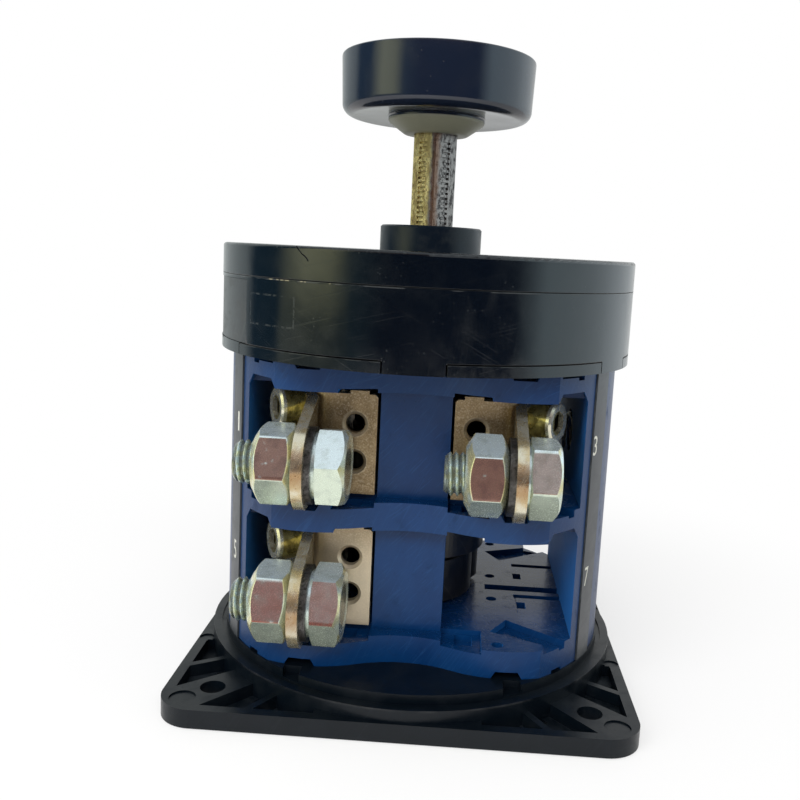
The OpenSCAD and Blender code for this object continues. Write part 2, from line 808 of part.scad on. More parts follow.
// Point where a line from point p touches a circle, on its upper side
function touch_point(c, r, p) =
    let (d = norm(p - c), a = atan2(p[1] - c[1], p[0] - c[0]) + acos(r / d))
    c + r * [cos(a), sin(a)];

// Flag-shaped lug: a round end around the bolt and a tall tail behind the clamp screw
module terminal_lug() {
    centre = [-bolt_y, bolt_z];
    corner = [-clamp_y - 0.4, lug_top];
    touch = touch_point(centre, lug_r - 0.02, corner);
    front = bolt_y + lug_r + 1;
    color(tinned)
    difference() {
        intersection() {
            translate([leg_x, 0, 0]) rotate([90, 0, 90]) linear_extrude(5 * bar_t) {
                translate(centre) circle(lug_r);
                polygon([
                    touch, [-bolt_y, bolt_z - 2], [-bolt_y + 3, bolt_z - lug_r + 1.2],
                    [-bolt_y + lug_r * 0.9, 2], [-lug_back_y, 2], [-lug_back_y, lug_top], corner
                ]);
            }
            linear_extrude(window_h) polygon([
                [leg_out_x, -front],
                [lug_out_x, -front],
                [lug_out_x, -tail_bend_y],
                [tail_x(tail_end_y), -tail_end_y],
                [tail_x(tail_end_y) - tail_t, -tail_end_y],
                [leg_out_x, (tail_t - bar_t) / tan(tail_turn) - tail_bend_y]
            ]);
        }
        translate([leg_x, -bolt_y, bolt_z]) rotate([0, 90, 0]) cylinder(d = bolt_d + 1, h = 4 * bar_t);
        on_clamp_axis() translate([0, 0, -bar_t - 1]) cylinder(d = clamp_d + 0.6, h = bar_t + 2);
    }
}

module terminal_plate_1() { at_terminal(1) terminal_plate(); }
module terminal_plate_2() { at_terminal(2) terminal_plate(); }
module terminal_plate_3() { at_terminal(3) terminal_plate(); }
module terminal_plate_4() { at_terminal(4) terminal_plate(); }
module terminal_plate_5() { at_terminal(5) terminal_plate(); }
module terminal_plate_6() { at_terminal(6) terminal_plate(); }
module terminal_lug_1() { at_terminal(1) terminal_lug(); }
module terminal_lug_2() { at_terminal(2) terminal_lug(); }
module terminal_lug_3() { at_terminal(3) terminal_lug(); }
module terminal_lug_4() { at_terminal(4) terminal_lug(); }
module terminal_lug_5() { at_terminal(5) terminal_lug(); }
module terminal_lug_6() { at_terminal(6) terminal_lug(); }

module fixed_tips() {
    color(silver_tip)
    for (n = [1 : 6]) at_terminal(n)
        translate([leg_out_x, -tip_centre_y - tip_w / 2, contact_z - 5]) cube([tip_t, tip_w, 10]);
}

// Every bolt goes in from the right, so its head is outside on the right and inside on the left.
// Its place in that direction is given for each side.
function head_x(side) = side > 0 ? lug_out_x : -leg_out_x + lock_washer_t;
function nut_x(side) = side > 0 ? leg_out_x - lock_washer_t : -lug_out_x;
function end_x(side) = nut_x(side) - nut_h - thread_out;
// How far each head and nut is turned up from a flat front
head_turn = [-20, 16, 24, -16, 23, 20];
nut_turn = [21, -18, 8, 19, 22, -25];

// Front or rear bolt axis of terminal n, with +Z of the children along +X
module on_bolt_axis(n, x) {
    translate([x, terminal_end(n) * bolt_y, floor_z(terminal_deck(n)) + bolt_z]) rotate([0, 90, 0]) children();
}

module terminal_bolts() {
    color(zinc_steel)
    for (n = [1 : 6]) {
        side = terminal_side(n);
        on_bolt_axis(n, head_x(side) + 0.8) rotate(-head_turn[n - 1]) hex_blank(bolt_af, bolt_head_h - 0.8);
        on_bolt_axis(n, head_x(side)) cylinder(d = bolt_af - 1.4, h = 0.8 + eps);
        on_bolt_axis(n, end_x(side)) cylinder(d1 = bolt_d - 2, d2 = bolt_d, h = 1);
        on_bolt_axis(n, end_x(side) + 1) cylinder(d = bolt_d, h = head_x(side) - end_x(side) - 1 + eps);
    }
}

module terminal_nuts() {
    color(zinc_steel)
    for (n = [1 : 6]) on_bolt_axis(n, nut_x(terminal_side(n)) - nut_h) rotate(-nut_turn[n - 1]) difference() {
        hex_blank(bolt_af, nut_h);
        translate([0, 0, -eps]) cylinder(d = bolt_d + 0.1, h = nut_h + 2 * eps);
    }
}

module lock_washers() {
    color(dark_steel)
    for (n = [1 : 6]) at_terminal(n)
        translate([leg_out_x - lock_washer_t, -bolt_y, bolt_z]) rotate([0, 90, 0]) difference() {
            cylinder(d = bolt_d + 9, h = lock_washer_t);
            translate([0, 0, -eps]) cylinder(d = bolt_d + 0.4, h = lock_washer_t + 2 * eps);
            rotate(20) translate([0, -0.6, -eps]) cube([bolt_d, 1.2, lock_washer_t + 2 * eps]);
        }
}

clamp_washer_t = 0.8;

module clamp_screws() {
    color(yellow_zinc)
    for (n = [1 : 6]) at_terminal(n) on_clamp_axis() difference() {
        union() {
            translate([0, 0, -2 * bar_t]) cylinder(d = clamp_d, h = 2 * bar_t + clamp_washer_t + eps);
            translate([0, 0, clamp_washer_t]) cylinder(d = clamp_head_d, h = clamp_head_h - 0.6);
            translate([0, 0, clamp_washer_t + clamp_head_h - 0.6 - eps])
                cylinder(d1 = clamp_head_d, d2 = clamp_head_d - 1.2, h = 0.6 + eps);
        }
        translate([0, 0, clamp_washer_t + clamp_head_h - 4]) cylinder(d = clamp_head_d * 0.6, h = 5, $fn = 6);
    }
}

module clamp_washers() {
    color(yellow_zinc)
    for (n = [1 : 6]) at_terminal(n) on_clamp_axis()
        tube(clamp_head_d / 2, clamp_d / 2 + 0.2, clamp_washer_t);
}

// Moving contacts, built for the right side and mirrored into place

module at_contact(i) {
    translate([0, 0, floor_z(contact_deck[i])]) mirror([contact_side[i] < 0 ? 1 : 0, 0, 0]) children();
}

// Slider between cam and bridge: a nose on its own cam, guide ribs and a stem for bridge and spring
module carrier(side) {
    half_w = 6.5;
    nose_r = 5;
    foot = slide_gap;
    color(contact_cream)
    difference() {
        union() {
            translate([nose_x + nose_r, -half_w, foot]) cube([bridge_in_x - nose_x - nose_r, 2 * half_w, window_h - 2 * foot]);
            translate([nose_x + nose_r, 0, nose_z(side) + 1]) cylinder(r = nose_r, h = cam_t - 2);
            translate([nose_x + nose_r + 1, -1.9, -floor_cut + slide_gap])
                cube([bridge_in_x - nose_x - nose_r - 1, 3.8, window_h + 2 * floor_cut - 2 * slide_gap]);
            translate([bridge_in_x - eps, 0, contact_z]) rotate([0, 90, 0]) cylinder(d = 6, h = bar_t + 7);
        }
        // Lightening pockets in both faces
        for (s = [-1, 1]) translate([bridge_in_x - 5.5, s * half_w - 2, 3]) cube([3.4, 4, window_h - 6]);
    }
}

module bridge() {
    color(copper_tan)
    translate([bridge_in_x, 0, contact_z])
    difference() {
        translate([0, -bridge_len / 2, -bridge_h / 2]) cube([bar_t, bridge_len, bridge_h]);
        translate([-eps, 0, 0]) rotate([0, 90, 0]) cylinder(d = 6.4, h = bar_t + 2 * eps);
        // Clipped corners
        for (y = [-1, 1], z = [-1, 1]) translate([-eps, y * bridge_len / 2, z * bridge_h / 2]) rotate([45, 0, 0])
            translate([0, -1.4, -1.4]) cube([bar_t + 2 * eps, 2.8, 2.8]);
    }
}

module bridge_tips() {
    color(silver_tip)
    for (y = [-1, 1]) translate([bridge_in_x - tip_t, y * tip_centre_y - tip_w / 2, contact_z - 5])
        cube([tip_t, tip_w, 10]);
}

module contact_spring() {
    color(spring_steel)
    translate([bridge_out_x + 0.1, 0, contact_z]) rotate([0, 90, 0])
        coil_spring(spring_d, spring_wire, spring_turns, spring_seat_x - bridge_out_x - 0.2);
}

module contact_spring_1_2() { at_contact(0) contact_spring(); }
module contact_spring_3_4() { at_contact(1) contact_spring(); }
module contact_spring_5_6() { at_contact(2) contact_spring(); }
module carrier_1_2() { at_contact(0) carrier(contact_side[0]); }
module carrier_3_4() { at_contact(1) carrier(contact_side[1]); }
module carrier_5_6() { at_contact(2) carrier(contact_side[2]); }
module bridge_1_2() { at_contact(0) bridge(); }
module bridge_3_4() { at_contact(1) bridge(); }
module bridge_5_6() { at_contact(2) bridge(); }
module bridge_tips_1_2() { at_contact(0) bridge_tips(); }
module bridge_tips_3_4() { at_contact(1) bridge_tips(); }
module bridge_tips_5_6() { at_contact(2) bridge_tips(); }

// Rotor

// Radius of a cam at an angle from its follower, against the shaft's turn.
// It rises evenly with the angle, dwells, and falls steeply on the far side.
cam_fall_from = 340;
cam_fall_to = 352;
function cam_radius(a) =
    a <= contact_turn ? cam_low_r + contact_travel * a / contact_turn :
    a <= cam_fall_from ? cam_r :
    a <= cam_fall_to ? cam_r - contact_travel * (a - cam_fall_from) / (cam_fall_to - cam_fall_from) :
    cam_low_r;

// Cam with its flank starting at the follower's side, 0 on the right and 180 on the left
module cam_disc(follower) {
    step = 4;
    linear_extrude(cam_t) difference() {
        polygon([for (a = [0 : step : 360 - step]) cam_radius(a) * [cos(follower - a), sin(follower - a)]]);
        // Lightening windows
        for (a = [0 : 90 : 270]) rotate(follower + 45 + a) translate([hub_r + 3.6, 0]) circle(2.2);
    }
}

// One cam with hubs that reach from level z0 to level z1
module cam(follower, z, z0, z1) {
    color(moulded_black)
    difference() {
        union() {
            translate([0, 0, z]) cam_disc(follower);
            translate([0, 0, z0]) cylinder(r = hub_r, h = z1 - z0);
        }
        translate([0, 0, z0 - eps]) linear_extrude(z1 - z0 + 2 * eps) shaft_section(run_gap);
    }
}

mid_gap = (lower_cam_z + cam_t + upper_cam_z) / 2;
module cam_1_lower() { cam(0, floor_1 + lower_cam_z, shaft_bottom, floor_1 + mid_gap); }
module cam_1_upper() { cam(180, floor_1 + upper_cam_z, floor_1 + mid_gap, floor_2 - flange_t / 2); }
module cam_2_lower() { cam(0, floor_2 + lower_cam_z, floor_2 - flange_t / 2, floor_2 + mid_gap); }
module cam_2_upper() { cam(180, floor_2 + upper_cam_z, floor_2 + mid_gap, drum_z - flange_t / 2); }

module shaft() {
    notch_w_on_shaft = 3.3;
    notches = floor((bare_shaft - 1) / shaft_notch_pitch);
    color(yellow_zinc)
    difference() {
        translate([0, 0, shaft_bottom]) linear_extrude(shaft_top - shaft_bottom) shaft_section();
        // Index notches up the middle of each flat
        for (i = [0 : notches - 1], a = [45 : 90 : 315]) rotate(a)
            translate([bar_w / 2 - shaft_notch_depth, -notch_w_on_shaft / 2, collar_top + 0.8 + i * shaft_notch_pitch])
                cube([2, notch_w_on_shaft, shaft_notch_pitch / 2]);
        translate([0, 0, shaft_top - 12]) cylinder(d = 6.1, h = 13);
    }
}

// Four-lobed index wheel; a roller rests between two lobes at each position
module detent_star() {
    valley_r = 4.2;
    color(contact_cream)
    difference() {
        union() {
            translate([0, 0, drum_z - flange_t / 2]) cylinder(r = hub_r, h = star_z - drum_z + flange_t / 2 + eps);
            translate([0, 0, star_z]) linear_extrude(star_t) difference() {
                circle(star_r);
                for (a = [45 : 90 : 315]) rotate(a) translate([star_r + 1, 0]) circle(valley_r);
            }
        }
        translate([0, 0, drum_z - flange_t]) linear_extrude(star_z + star_t) shaft_section(run_gap);
    }
}

module at_detents() {
    for (a = detent_turn) rotate(a) translate([0, 0, star_z]) children();
}

module detent_rollers() {
    color(zinc_steel) at_detents() translate([detent_x, 0, 0]) cylinder(r = roller_r, h = star_t);
}

module detent_carriers() {
    color(contact_cream) at_detents() difference() {
        translate([detent_x, -5.5, 0]) cube([carrier_len, 11, star_t]);
        translate([detent_x, 0, -eps]) cylinder(r = roller_r + run_gap, h = star_t + 2 * eps);
    }
}

module detent_springs() {
    color(spring_steel) at_detents() translate([detent_spring_x + 0.1, 0, star_t / 2]) rotate([0, 90, 0])
        coil_spring(6, 1, 6, detent_wall_x - detent_spring_x - 0.2);
}

module shaft_collar() {
    foot = star_z + star_t;
    color(moulded_black)
    difference() {
        translate([0, 0, foot]) rotate_extrude() polygon([
            [0, 0], [collar_d / 2, 0], [collar_d / 2, collar_top - foot - 0.5],
            [collar_d / 2 - 0.5, collar_top - foot], [0, collar_top - foot]
        ]);
        translate([0, 0, foot - eps]) linear_extrude(collar_top - foot + 2 * eps) shaft_section(run_gap);
    }
}

module knob() {
    r = knob_d / 2;
    base = knob_body_z - knob_z;
    top = knob_top - knob_z;
    draft = 0.5;
    color(moulded_black)
    translate([0, 0, knob_z])
    difference() {
        union() {
            rotate_extrude() difference() {
                union() {
                    polygon([
                        [0, 0], [bar_d / 2 + 1.7, 0], [knob_hub_d / 2, knob_cone_h],
                        [knob_hub_d / 2, base + 1.2], [r - draft - knob_edge_r, base + 1.2],
                        [r - draft - knob_edge_r, top], [0, top]
                    ]);
                    polygon([
                        [r - draft - knob_edge_r, base + knob_edge_r], [r - draft, base + knob_edge_r],
                        [r, top - 1], [r - 1, top], [r - knob_edge_r - 1, top]
                    ]);
                    translate([r - draft - knob_edge_r, base + knob_edge_r]) circle(knob_edge_r);
                }
                translate([0, top - knob_dish]) square([r - 5, 4]);
            }
            // Pointer bar across the dish
            translate([-1.5, -r + 6, top - knob_dish - eps]) cube([3, r - 14, knob_dish * 0.8]);
        }
        translate([0, 0, -eps]) linear_extrude(shaft_in_knob + 0.3) shaft_section(run_gap);
        translate([0, 0, shaft_in_knob]) cylinder(d = 6.6, h = knob_h + knob_cone_h);
        translate([0, 0, top - knob_dish - 4]) cylinder(d = 12, h = 8);
    }
}

module knob_screw() {
    head_z = knob_top - knob_dish - 4;
    color(zinc_steel)
    difference() {
        union() {
            translate([0, 0, head_z]) cylinder(d = 10.5, h = 3.4);
            translate([0, 0, shaft_top - 10]) cylinder(d = 6, h = head_z - shaft_top + 10 + eps);
        }
        for (a = [0, 90]) rotate(a) translate([-2.6, -0.6, head_z + 1.6]) cube([5.2, 1.2, 3]);
    }
}

base_plate();
bottom_flange();
deck_1_housing();
deck_2_housing();
number_strip_front_left();
number_strip_front_right();
number_strip_rear_left();
number_strip_rear_right();
seat_plate();
index_housing();
label_plate();
index_cover();
cover_screws();
tie_rods();
tie_rod_nuts();
terminal_plate_1();
terminal_plate_2();
terminal_plate_3();
terminal_plate_4();
terminal_plate_5();
terminal_plate_6();
terminal_lug_1();
terminal_lug_2();
terminal_lug_3();
terminal_lug_4();
terminal_lug_5();
terminal_lug_6();
fixed_tips();
terminal_bolts();
terminal_nuts();
lock_washers();
clamp_screws();
clamp_washers();
contact_spring_1_2();
contact_spring_3_4();
contact_spring_5_6();
carrier_1_2();
carrier_3_4();
carrier_5_6();
bridge_1_2();
bridge_3_4();
bridge_5_6();
bridge_tips_1_2();
bridge_tips_3_4();
bridge_tips_5_6();
shaft();
cam_1_lower();
cam_1_upper();
cam_2_lower();
cam_2_upper();
detent_star();
detent_rollers();
detent_carriers();
detent_springs();
shaft_collar();
knob();
knob_screw();
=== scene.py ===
import math
import bmesh
import bpy
from mathutils import Matrix, Vector


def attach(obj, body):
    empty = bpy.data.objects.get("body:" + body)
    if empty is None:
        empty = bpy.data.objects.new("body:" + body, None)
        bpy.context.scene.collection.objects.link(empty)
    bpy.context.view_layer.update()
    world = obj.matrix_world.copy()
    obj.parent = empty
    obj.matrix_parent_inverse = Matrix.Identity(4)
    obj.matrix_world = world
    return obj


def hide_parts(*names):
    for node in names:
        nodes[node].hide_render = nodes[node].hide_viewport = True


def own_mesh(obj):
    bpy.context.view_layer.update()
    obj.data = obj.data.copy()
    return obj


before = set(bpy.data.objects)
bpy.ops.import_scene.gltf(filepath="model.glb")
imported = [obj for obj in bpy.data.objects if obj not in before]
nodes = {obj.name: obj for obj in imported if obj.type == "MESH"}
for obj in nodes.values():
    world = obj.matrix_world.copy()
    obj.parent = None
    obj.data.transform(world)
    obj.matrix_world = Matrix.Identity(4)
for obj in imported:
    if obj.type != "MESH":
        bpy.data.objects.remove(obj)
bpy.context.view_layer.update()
mm = 0.001
print("frame loaded")


# a node socket that can be worked with like a number
class Sock:
    def __init__(self, look, out):
        self.look = look
        self.out = out

    def __add__(self, other):
        return self.look.math("ADD", self, other)

    def __radd__(self, other):
        return self.look.math("ADD", other, self)

    def __sub__(self, other):
        return self.look.math("SUBTRACT", self, other)

    def __rsub__(self, other):
        return self.look.math("SUBTRACT", other, self)

    def __mul__(self, other):
        return self.look.math("MULTIPLY", self, other)

    def __rmul__(self, other):
        return self.look.math("MULTIPLY", other, self)

    def __truediv__(self, other):
        return self.look.math("DIVIDE", self, other)

    def __rtruediv__(self, other):
        return self.look.math("DIVIDE", other, self)

    def __abs__(self):
        return self.look.math("ABSOLUTE", self)

    def least(self, other):
        return self.look.math("MINIMUM", self, other)

    def most(self, other):
        return self.look.math("MAXIMUM", self, other)

    # 0 below low, 1 above high (or the other way round when low is the larger)
    def step(self, low, high):
        return self.look.node("ShaderNodeMapRange", {"interpolation_type": "SMOOTHSTEP"},
                              {0: self, 1: low, 2: high, 3: 0.0, 4: 1.0})

    # 1 up to half away from the centre, with a soft edge
    def near(self, centre, half, edge):
        return abs(self - centre).step(half + edge, half - edge)


# the nodes of a material or of the world
class Nodes:
    def __init__(self, tree):
        self.tree = tree

    def feed(self, socket, value):
        if isinstance(value, Sock):
            self.tree.links.new(value.out, socket)
        else:
            socket.default_value = value

    # a node of any type: its settings first, then the values or links of its sockets
    def node(self, kind, settings, values, out=0):
        n = self.tree.nodes.new(kind)
        for key, value in settings.items():
            if key == "stops":
                ramp = n.color_ramp.elements
                while len(ramp) < len(value):
                    ramp.new(0.5)
                for stop, (at, colour) in zip(ramp, value):
                    stop.position = at
                    stop.color = (*colour, 1)
            else:
                setattr(n, key, value)
        for key, value in values.items():
            self.feed(n.inputs[key], value)
        return Sock(self, n.outputs[out]) if n.outputs else n

    def math(self, operation, a, b=0.0):
        return self.node("ShaderNodeMath", {"operation": operation}, {0: a, 1: b})

    def vector(self, operation, a, b=(0, 0, 0), out=0):
        return self.node("ShaderNodeVectorMath", {"operation": operation}, {0: a, 1: b}, out)

    def split(self, vector):
        return [self.node("ShaderNodeSeparateXYZ", {}, {0: vector}, axis) for axis in "XYZ"]

    def join(self, x, y, z=0.0):
        return self.node("ShaderNodeCombineXYZ", {}, {0: x, 1: y, 2: z})

    # distance from two numbers square to each other
    def hypot(self, a, b):
        return self.math("SQRT", a * a + b * b)

    # degrees round the upright axis from the front, positive to the right
    def turn(self, x, y):
        return self.math("ARCTAN2", x, y * -1) * (180 / math.pi)

    def mix(self, a, b, mask):
        a, b = (c if isinstance(c, Sock) else (*c, 1) for c in (a, b))
        return self.node("ShaderNodeMix", {"data_type": "RGBA"}, {0: mask, 6: a, 7: b}, 2)

    # a colour that follows a number through its stops
    def ramp(self, value, low, high, stops):
        stops = [((at - low) / (high - low), colour) for at, colour in stops]
        return self.node("ShaderNodeValToRGB", {"stops": stops}, {0: (value - low) / (high - low)})


# one material with its principled shader
class Look(Nodes):
    def __init__(self, name):
        self.mat = bpy.data.materials.new(name)
        self.mat.use_nodes = True
        super().__init__(self.mat.node_tree)
        self.shader = self.tree.nodes["Principled BSDF"]
        # position in millimetres, and the direction the surface faces
        metres = self.node("ShaderNodeTexCoord", {}, {}, "Object")
        self.place = self.vector("MULTIPLY", metres, (1 / mm,) * 3)
        self.x, self.y, self.z = self.split(self.place)
        self.nx, self.ny, self.nz = self.split(self.node("ShaderNodeNewGeometry", {}, {}, "Normal"))

    # the surface of an upright cylinder, laid flat
    def unrolled(self, radius):
        return self.join(self.turn(self.x, self.y) * math.radians(radius), self.z)

    # sizes of noise, specks and streaks are in mm
    def noise(self, size, detail=3.0, rough=0.5, stretch=(1, 1, 1), shift=(0, 0, 0)):
        where = self.vector("MULTIPLY", self.place, tuple(s / size for s in stretch))
        where = self.vector("ADD", where, shift)
        return self.node("ShaderNodeTexNoise", {},
                         {"Vector": where, "Scale": 1.0, "Detail": detail, "Roughness": rough})

    # patches of noise: 0 below low, 1 above high
    def cloud(self, size, low, high, **more):
        return self.noise(size, **more).step(low, high)

    # round specks of one size in patches of another; edge and share are where speck and patch fade in
    def specks(self, size, edge, patch, share, shift):
        where = self.vector("MULTIPLY", self.place, (1 / size,) * 3)
        cells = self.node("ShaderNodeTexVoronoi", {}, {"Vector": where, "Scale": 1.0}, "Distance")
        return cells.step(*edge) * self.cloud(patch, *share, shift=shift)

    # scratches of one or more kinds: length, width, turn in radians, and the noise above which they show
    def streaks(self, at, *kinds):
        found = []
        for length, width, turn, share in kinds:
            c, s = math.cos(turn), math.sin(turn)
            x = self.vector("DOT_PRODUCT", at, (c, s, 0.3), "Value")
            y = self.vector("DOT_PRODUCT", at, (-s, c, 0.45), "Value")
            where = self.join(x / length, y / width, turn * 7)
            streak = self.node("ShaderNodeTexNoise", {}, {"Vector": where, "Scale": 1.0, "Detail": 1.0})
            streak = streak.step(share, share + 0.035)
            found.append(found[-1].most(streak) if found else streak)
        return found[-1]

    def set(self, **values):
        for key, value in values.items():
            self.feed(self.shader.inputs[key.replace("_", " ")], value)

    # relief: how many mm a height of 1 stands up
    def bump(self, height, relief):
        sockets = {"Height": height, "Distance": relief * mm, "Strength": 1.0}
        self.set(Normal=self.node("ShaderNodeBump", {}, sockets))


# a colour as a picture editor shows it
def srgb(r, g, b):
    return tuple((c / 255 / 12.92) if c <= 10 else ((c / 255 + 0.055) / 1.055) ** 2.4 for c in (r, g, b))


# adds rings of points, each a closed loop of the same count, joined by quads
def loft(rings, verts, faces):
    start = len(verts)
    count = len(rings[0])
    for ring in rings:
        verts.extend(ring)
    for i in range(len(rings) - 1):
        for k in range(count):
            a = start + i * count + k
            b = start + i * count + (k + 1) % count
            faces.append((a, b, b + count, a + count))


# a piece from points and faces, smooth up to an angle in degrees
def meshPiece(name, verts, faces, finish, body, smooth, slot=None):
    mesh = bpy.data.meshes.new(name)
    mesh.from_pydata([tuple(v) for v in verts], [], faces)
    mesh.materials.append(finish.mat)
    obj = bpy.data.objects.new(name, mesh)
    bpy.context.collection.objects.link(obj)
    bm = bmesh.new()
    bm.from_mesh(mesh)
    bmesh.ops.remove_doubles(bm, verts=bm.verts, dist=0.001 * mm)
    bmesh.ops.recalc_face_normals(bm, faces=bm.faces)
    bm.to_mesh(mesh)
    bm.free()
    for face in mesh.polygons:
        face.use_smooth = True
    mesh.set_sharp_from_angle(angle=math.radians(smooth))
    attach(obj, body)
    return obj


# rounds the edges that are sharper than an angle in degrees
def soften(obj, width, angle):
    soft = obj.modifiers.new("edge", "BEVEL")
    soft.width = width * mm
    soft.segments = 2
    soft.limit_method = "ANGLE"
    soft.angle_limit = math.radians(angle)


drumSet = {
    "tint": (0.0008, 0.0020, 0.0036),
    "dusty": (0.018, 0.022, 0.022),
    "flash": (0.60, 0.52, 0.30),
    "gap": (0.0, 0.0, 0.0),
    "rough": 0.10,
    "gloss": 0.62,
    "relief": 0.06,
    "radius": 63,
    "streaks": ((22, 0.5, 0.25, 0.68), (16, 0.4, -0.5, 0.70), (30, 0.6, 1.45, 0.69)),
    "specks": (1.6, (0.16, 0.10), 9, (0.50, 0.62), (4, 1, 7)),
    "filmAt": (45, 40, 14),         # angle of its middle, half its width and its soft edge, in degrees
    "sticker": (-38.6, 110.1),      # angle and height of the middle of the worn-off sticker
    "stickerHalf": (8.9, 4.0),      # half its width and height
    "seam": 118.5,                  # height of the line between drum and cover
    "flashAt": (-32, 11, 4),
    "tongueTop": 99.8,
    "tongueStep": 60,               # degrees from one tongue to the next
    "tongueEnd": 7.5,               # degrees between a tongue's end and the middle of the gap beside it
    "top": 127.1,
    "edge": (61.0, 62.2),           # radius where the top edge's wear starts, and where it is full
    "crack": (-30.3, 0.82),         # its angle at the top edge, and its slope down to the right
    "crackRun": (1.8, 2.0, 0.4),    # to the right of that angle: its middle, half its length, its soft ends
    "crackWave": 1.6,               # how much it wanders
}


# the worn outline of a sticker, left of the front
def stickerLine(look, angle):
    s = drumSet
    dx = abs((angle - s["sticker"][0]) * math.radians(s["radius"])) - s["stickerHalf"][0]
    dz = abs(look.z - s["sticker"][1]) - s["stickerHalf"][1]
    wearAndPaintedReflection = look.cloud(2.0, 0.42, 0.60, detail=4, rough=0.7, shift=(9, 2, 1))
    return abs(dx.most(dz)).step(0.34, 0.16) * wearAndPaintedReflection


# the line under the cover, a painted highlight along the lip below it, and pale flash left along a part of
# it
def seamLines(look, angle):
    s = drumSet
    line = look.z.near(s["seam"] + 0.10, 0.10, 0.08)
    # painted highlight: a pale patchy line under the seam, which the bump also raises
    lip = look.z.near(s["seam"] - 0.20, 0.10, 0.08)
    lip = lip * look.cloud(6, 0.40, 0.60, detail=3, stretch=(1, 1, 0.2))
    flash = look.z.near(s["seam"] - 0.22, 0.10, 0.08)
    flash = flash * look.cloud(4.5, 0.50, 0.58, detail=4, rough=0.7, stretch=(1, 1, 0.2))
    return line, lip, flash * angle.near(*s["flashAt"])


# painted shadow in the gap round the seat plate's tongues, and a painted highlight along the edge under it
def tongueLines(look, angle):
    s = drumSet
    fold = look.math("PINGPONG", abs(angle), s["tongueStep"] / 2)
    tongue = fold.step(s["tongueEnd"] - 0.1, s["tongueEnd"] + 0.1)
    # painted shadow over and beside each tongue
    over = look.z.near(s["tongueTop"] + 0.16, 0.17, 0.08) * tongue
    beside = fold.near(s["tongueEnd"], 0.16, 0.08) * look.z.step(s["tongueTop"] + 0.3, s["tongueTop"])
    # painted highlight along the tongue's top edge
    chipAndPaintedHighlight = look.z.near(s["tongueTop"] - 0.16, 0.10, 0.08) * tongue
    return over.most(beside), chipAndPaintedHighlight * look.cloud(3, 0.42, 0.58, stretch=(1, 1, 0.3))


# the cover's top edge: a crack that runs down from it, and worn spots along it
def topEdge(look, angle):
    s = drumSet
    edge = look.hypot(look.x, look.y).step(*s["edge"])
    run = (angle - s["crack"][0]) * math.radians(s["radius"])
    fall = look.z - s["top"] + run * s["crack"][1]
    wave = s["crackWave"]
    crack = abs(fall + look.noise(2.2, detail=2) * wave - wave / 2).step(0.28, 0.10)
    crack = crack * run.near(*s["crackRun"]) * edge
    wearAndPaintedReflection = look.z.near(s["top"], 0.5, 0.3) * look.cloud(2.4, 0.52, 0.64, detail=4, rough=0.7)
    return crack, wearAndPaintedReflection * (edge * 0.9 + 0.1)


def drumLook():
    s = drumSet
    look = Look("drum black")
    angle = look.turn(look.x, look.y)
    fine = look.streaks(look.unrolled(s["radius"]), *s["streaks"])
    smear = look.cloud(14, 0.42, 0.75, detail=5, rough=0.6)
    film = look.cloud(11, 0.44, 0.62, detail=6, rough=0.7, stretch=(1, 1, 0.6), shift=(2, 8, 5))
    film = film * angle.near(*s["filmAt"]) * look.z.step(s["seam"] + 0.2, s["seam"] - 0.2)
    seam, lip, flash = seamLines(look, angle)
    gap, chipAndPaintedHighlight = tongueLines(look, angle)
    crack, wearAndPaintedReflection = topEdge(look, angle)
    # mark also carries the painted highlight along the tongues' top edge
    mark = (look.specks(*s["specks"]) * 0.32).most(stickerLine(look, angle) * 0.5).most(chipAndPaintedHighlight * 0.5)
    # dust also carries the painted highlight of the lip under the seam
    dust = smear * 0.14 + film * 0.10 + fine * 0.05 + wearAndPaintedReflection * 0.6 + mark + lip
    base = look.mix(s["tint"], s["dusty"], dust.least(1.0))
    base = look.mix(base, s["flash"], flash * 0.40)
    # a black metal shines least of all, which suits a gap; the tongue gaps in it are painted shadow
    dark = crack.most(seam).most(gap)
    base = look.mix(base, s["gap"], dark)
    rough = s["rough"] + smear * 0.09 + film * 0.08 + fine * 0.04 + mark * 0.5 + flash * 0.4
    rough = rough + dark * 0.3 + wearAndPaintedReflection * 0.3
    look.set(Base_Color=base, Roughness=rough.least(0.9), Metallic=dark, Specular_IOR_Level=s["gloss"])
    height = look.noise(16, detail=2) * 1.6 - fine * 0.04 - dark * 2.0 + lip * 0.6
    look.bump(height + look.noise(1.2, detail=2) * 0.05, s["relief"])
    return look


knobSet = {
    "tint": (0.0056, 0.0092, 0.0190),
    "hubTint": (0.23, 0.23, 0.165),
    "dust": (0.036, 0.036, 0.034),
    "rough": 0.14,
    "gloss": 0.6,
    "relief": 0.06,
    "streaks": ((14, 0.4, 0.3, 0.69), (12, 0.3, -0.8, 0.70)),
    "specks": (1.9, (0.12, 0.07), 8, (0.50, 0.62), (2, 5, 7)),
    "hubTop": (167.3, 166.9),       # the hub's colour ends between these heights
    "radius": 29,
    # radius and height along the outline, from under the hub round to the screw's seat and the shaft's hole
    "hub": ((6.8, 162.8), (9.6, 162.8), (10.0, 163.0), (14.2, 165.9), (14.7, 166.5), (14.8, 167.6)),
    "under": ((15.2, 167.85), (20, 167.75), (25.2, 167.45)),
    "rim": (25.7, 170.6, 3.2),      # centre and radius of the rounded lower edge
    "top": ((29.4, 184.2), (29.32, 184.6), (29.1, 184.85), (28.8, 184.97), (28.2, 185.0), (24.6, 185.0),
            (24.2, 184.85), (24.0, 184.1), (23.6, 184.0), (6.4, 184.0), (6.1, 183.9), (6.0, 183.6)),
    "seat": ((6.0, 180.0), (3.4, 180.0), (3.4, 176.0), (6.8, 176.0), (6.8, 162.8)),
    # the pointer bar: half its width, its two ends, and at three heights how far its sides lean in
    "bar": (1.5, -23.2, -8.2),
    "barTaper": ((183.95, 0), (184.5, 0.1), (184.7, 0.35)),
    "steps": 160,
}


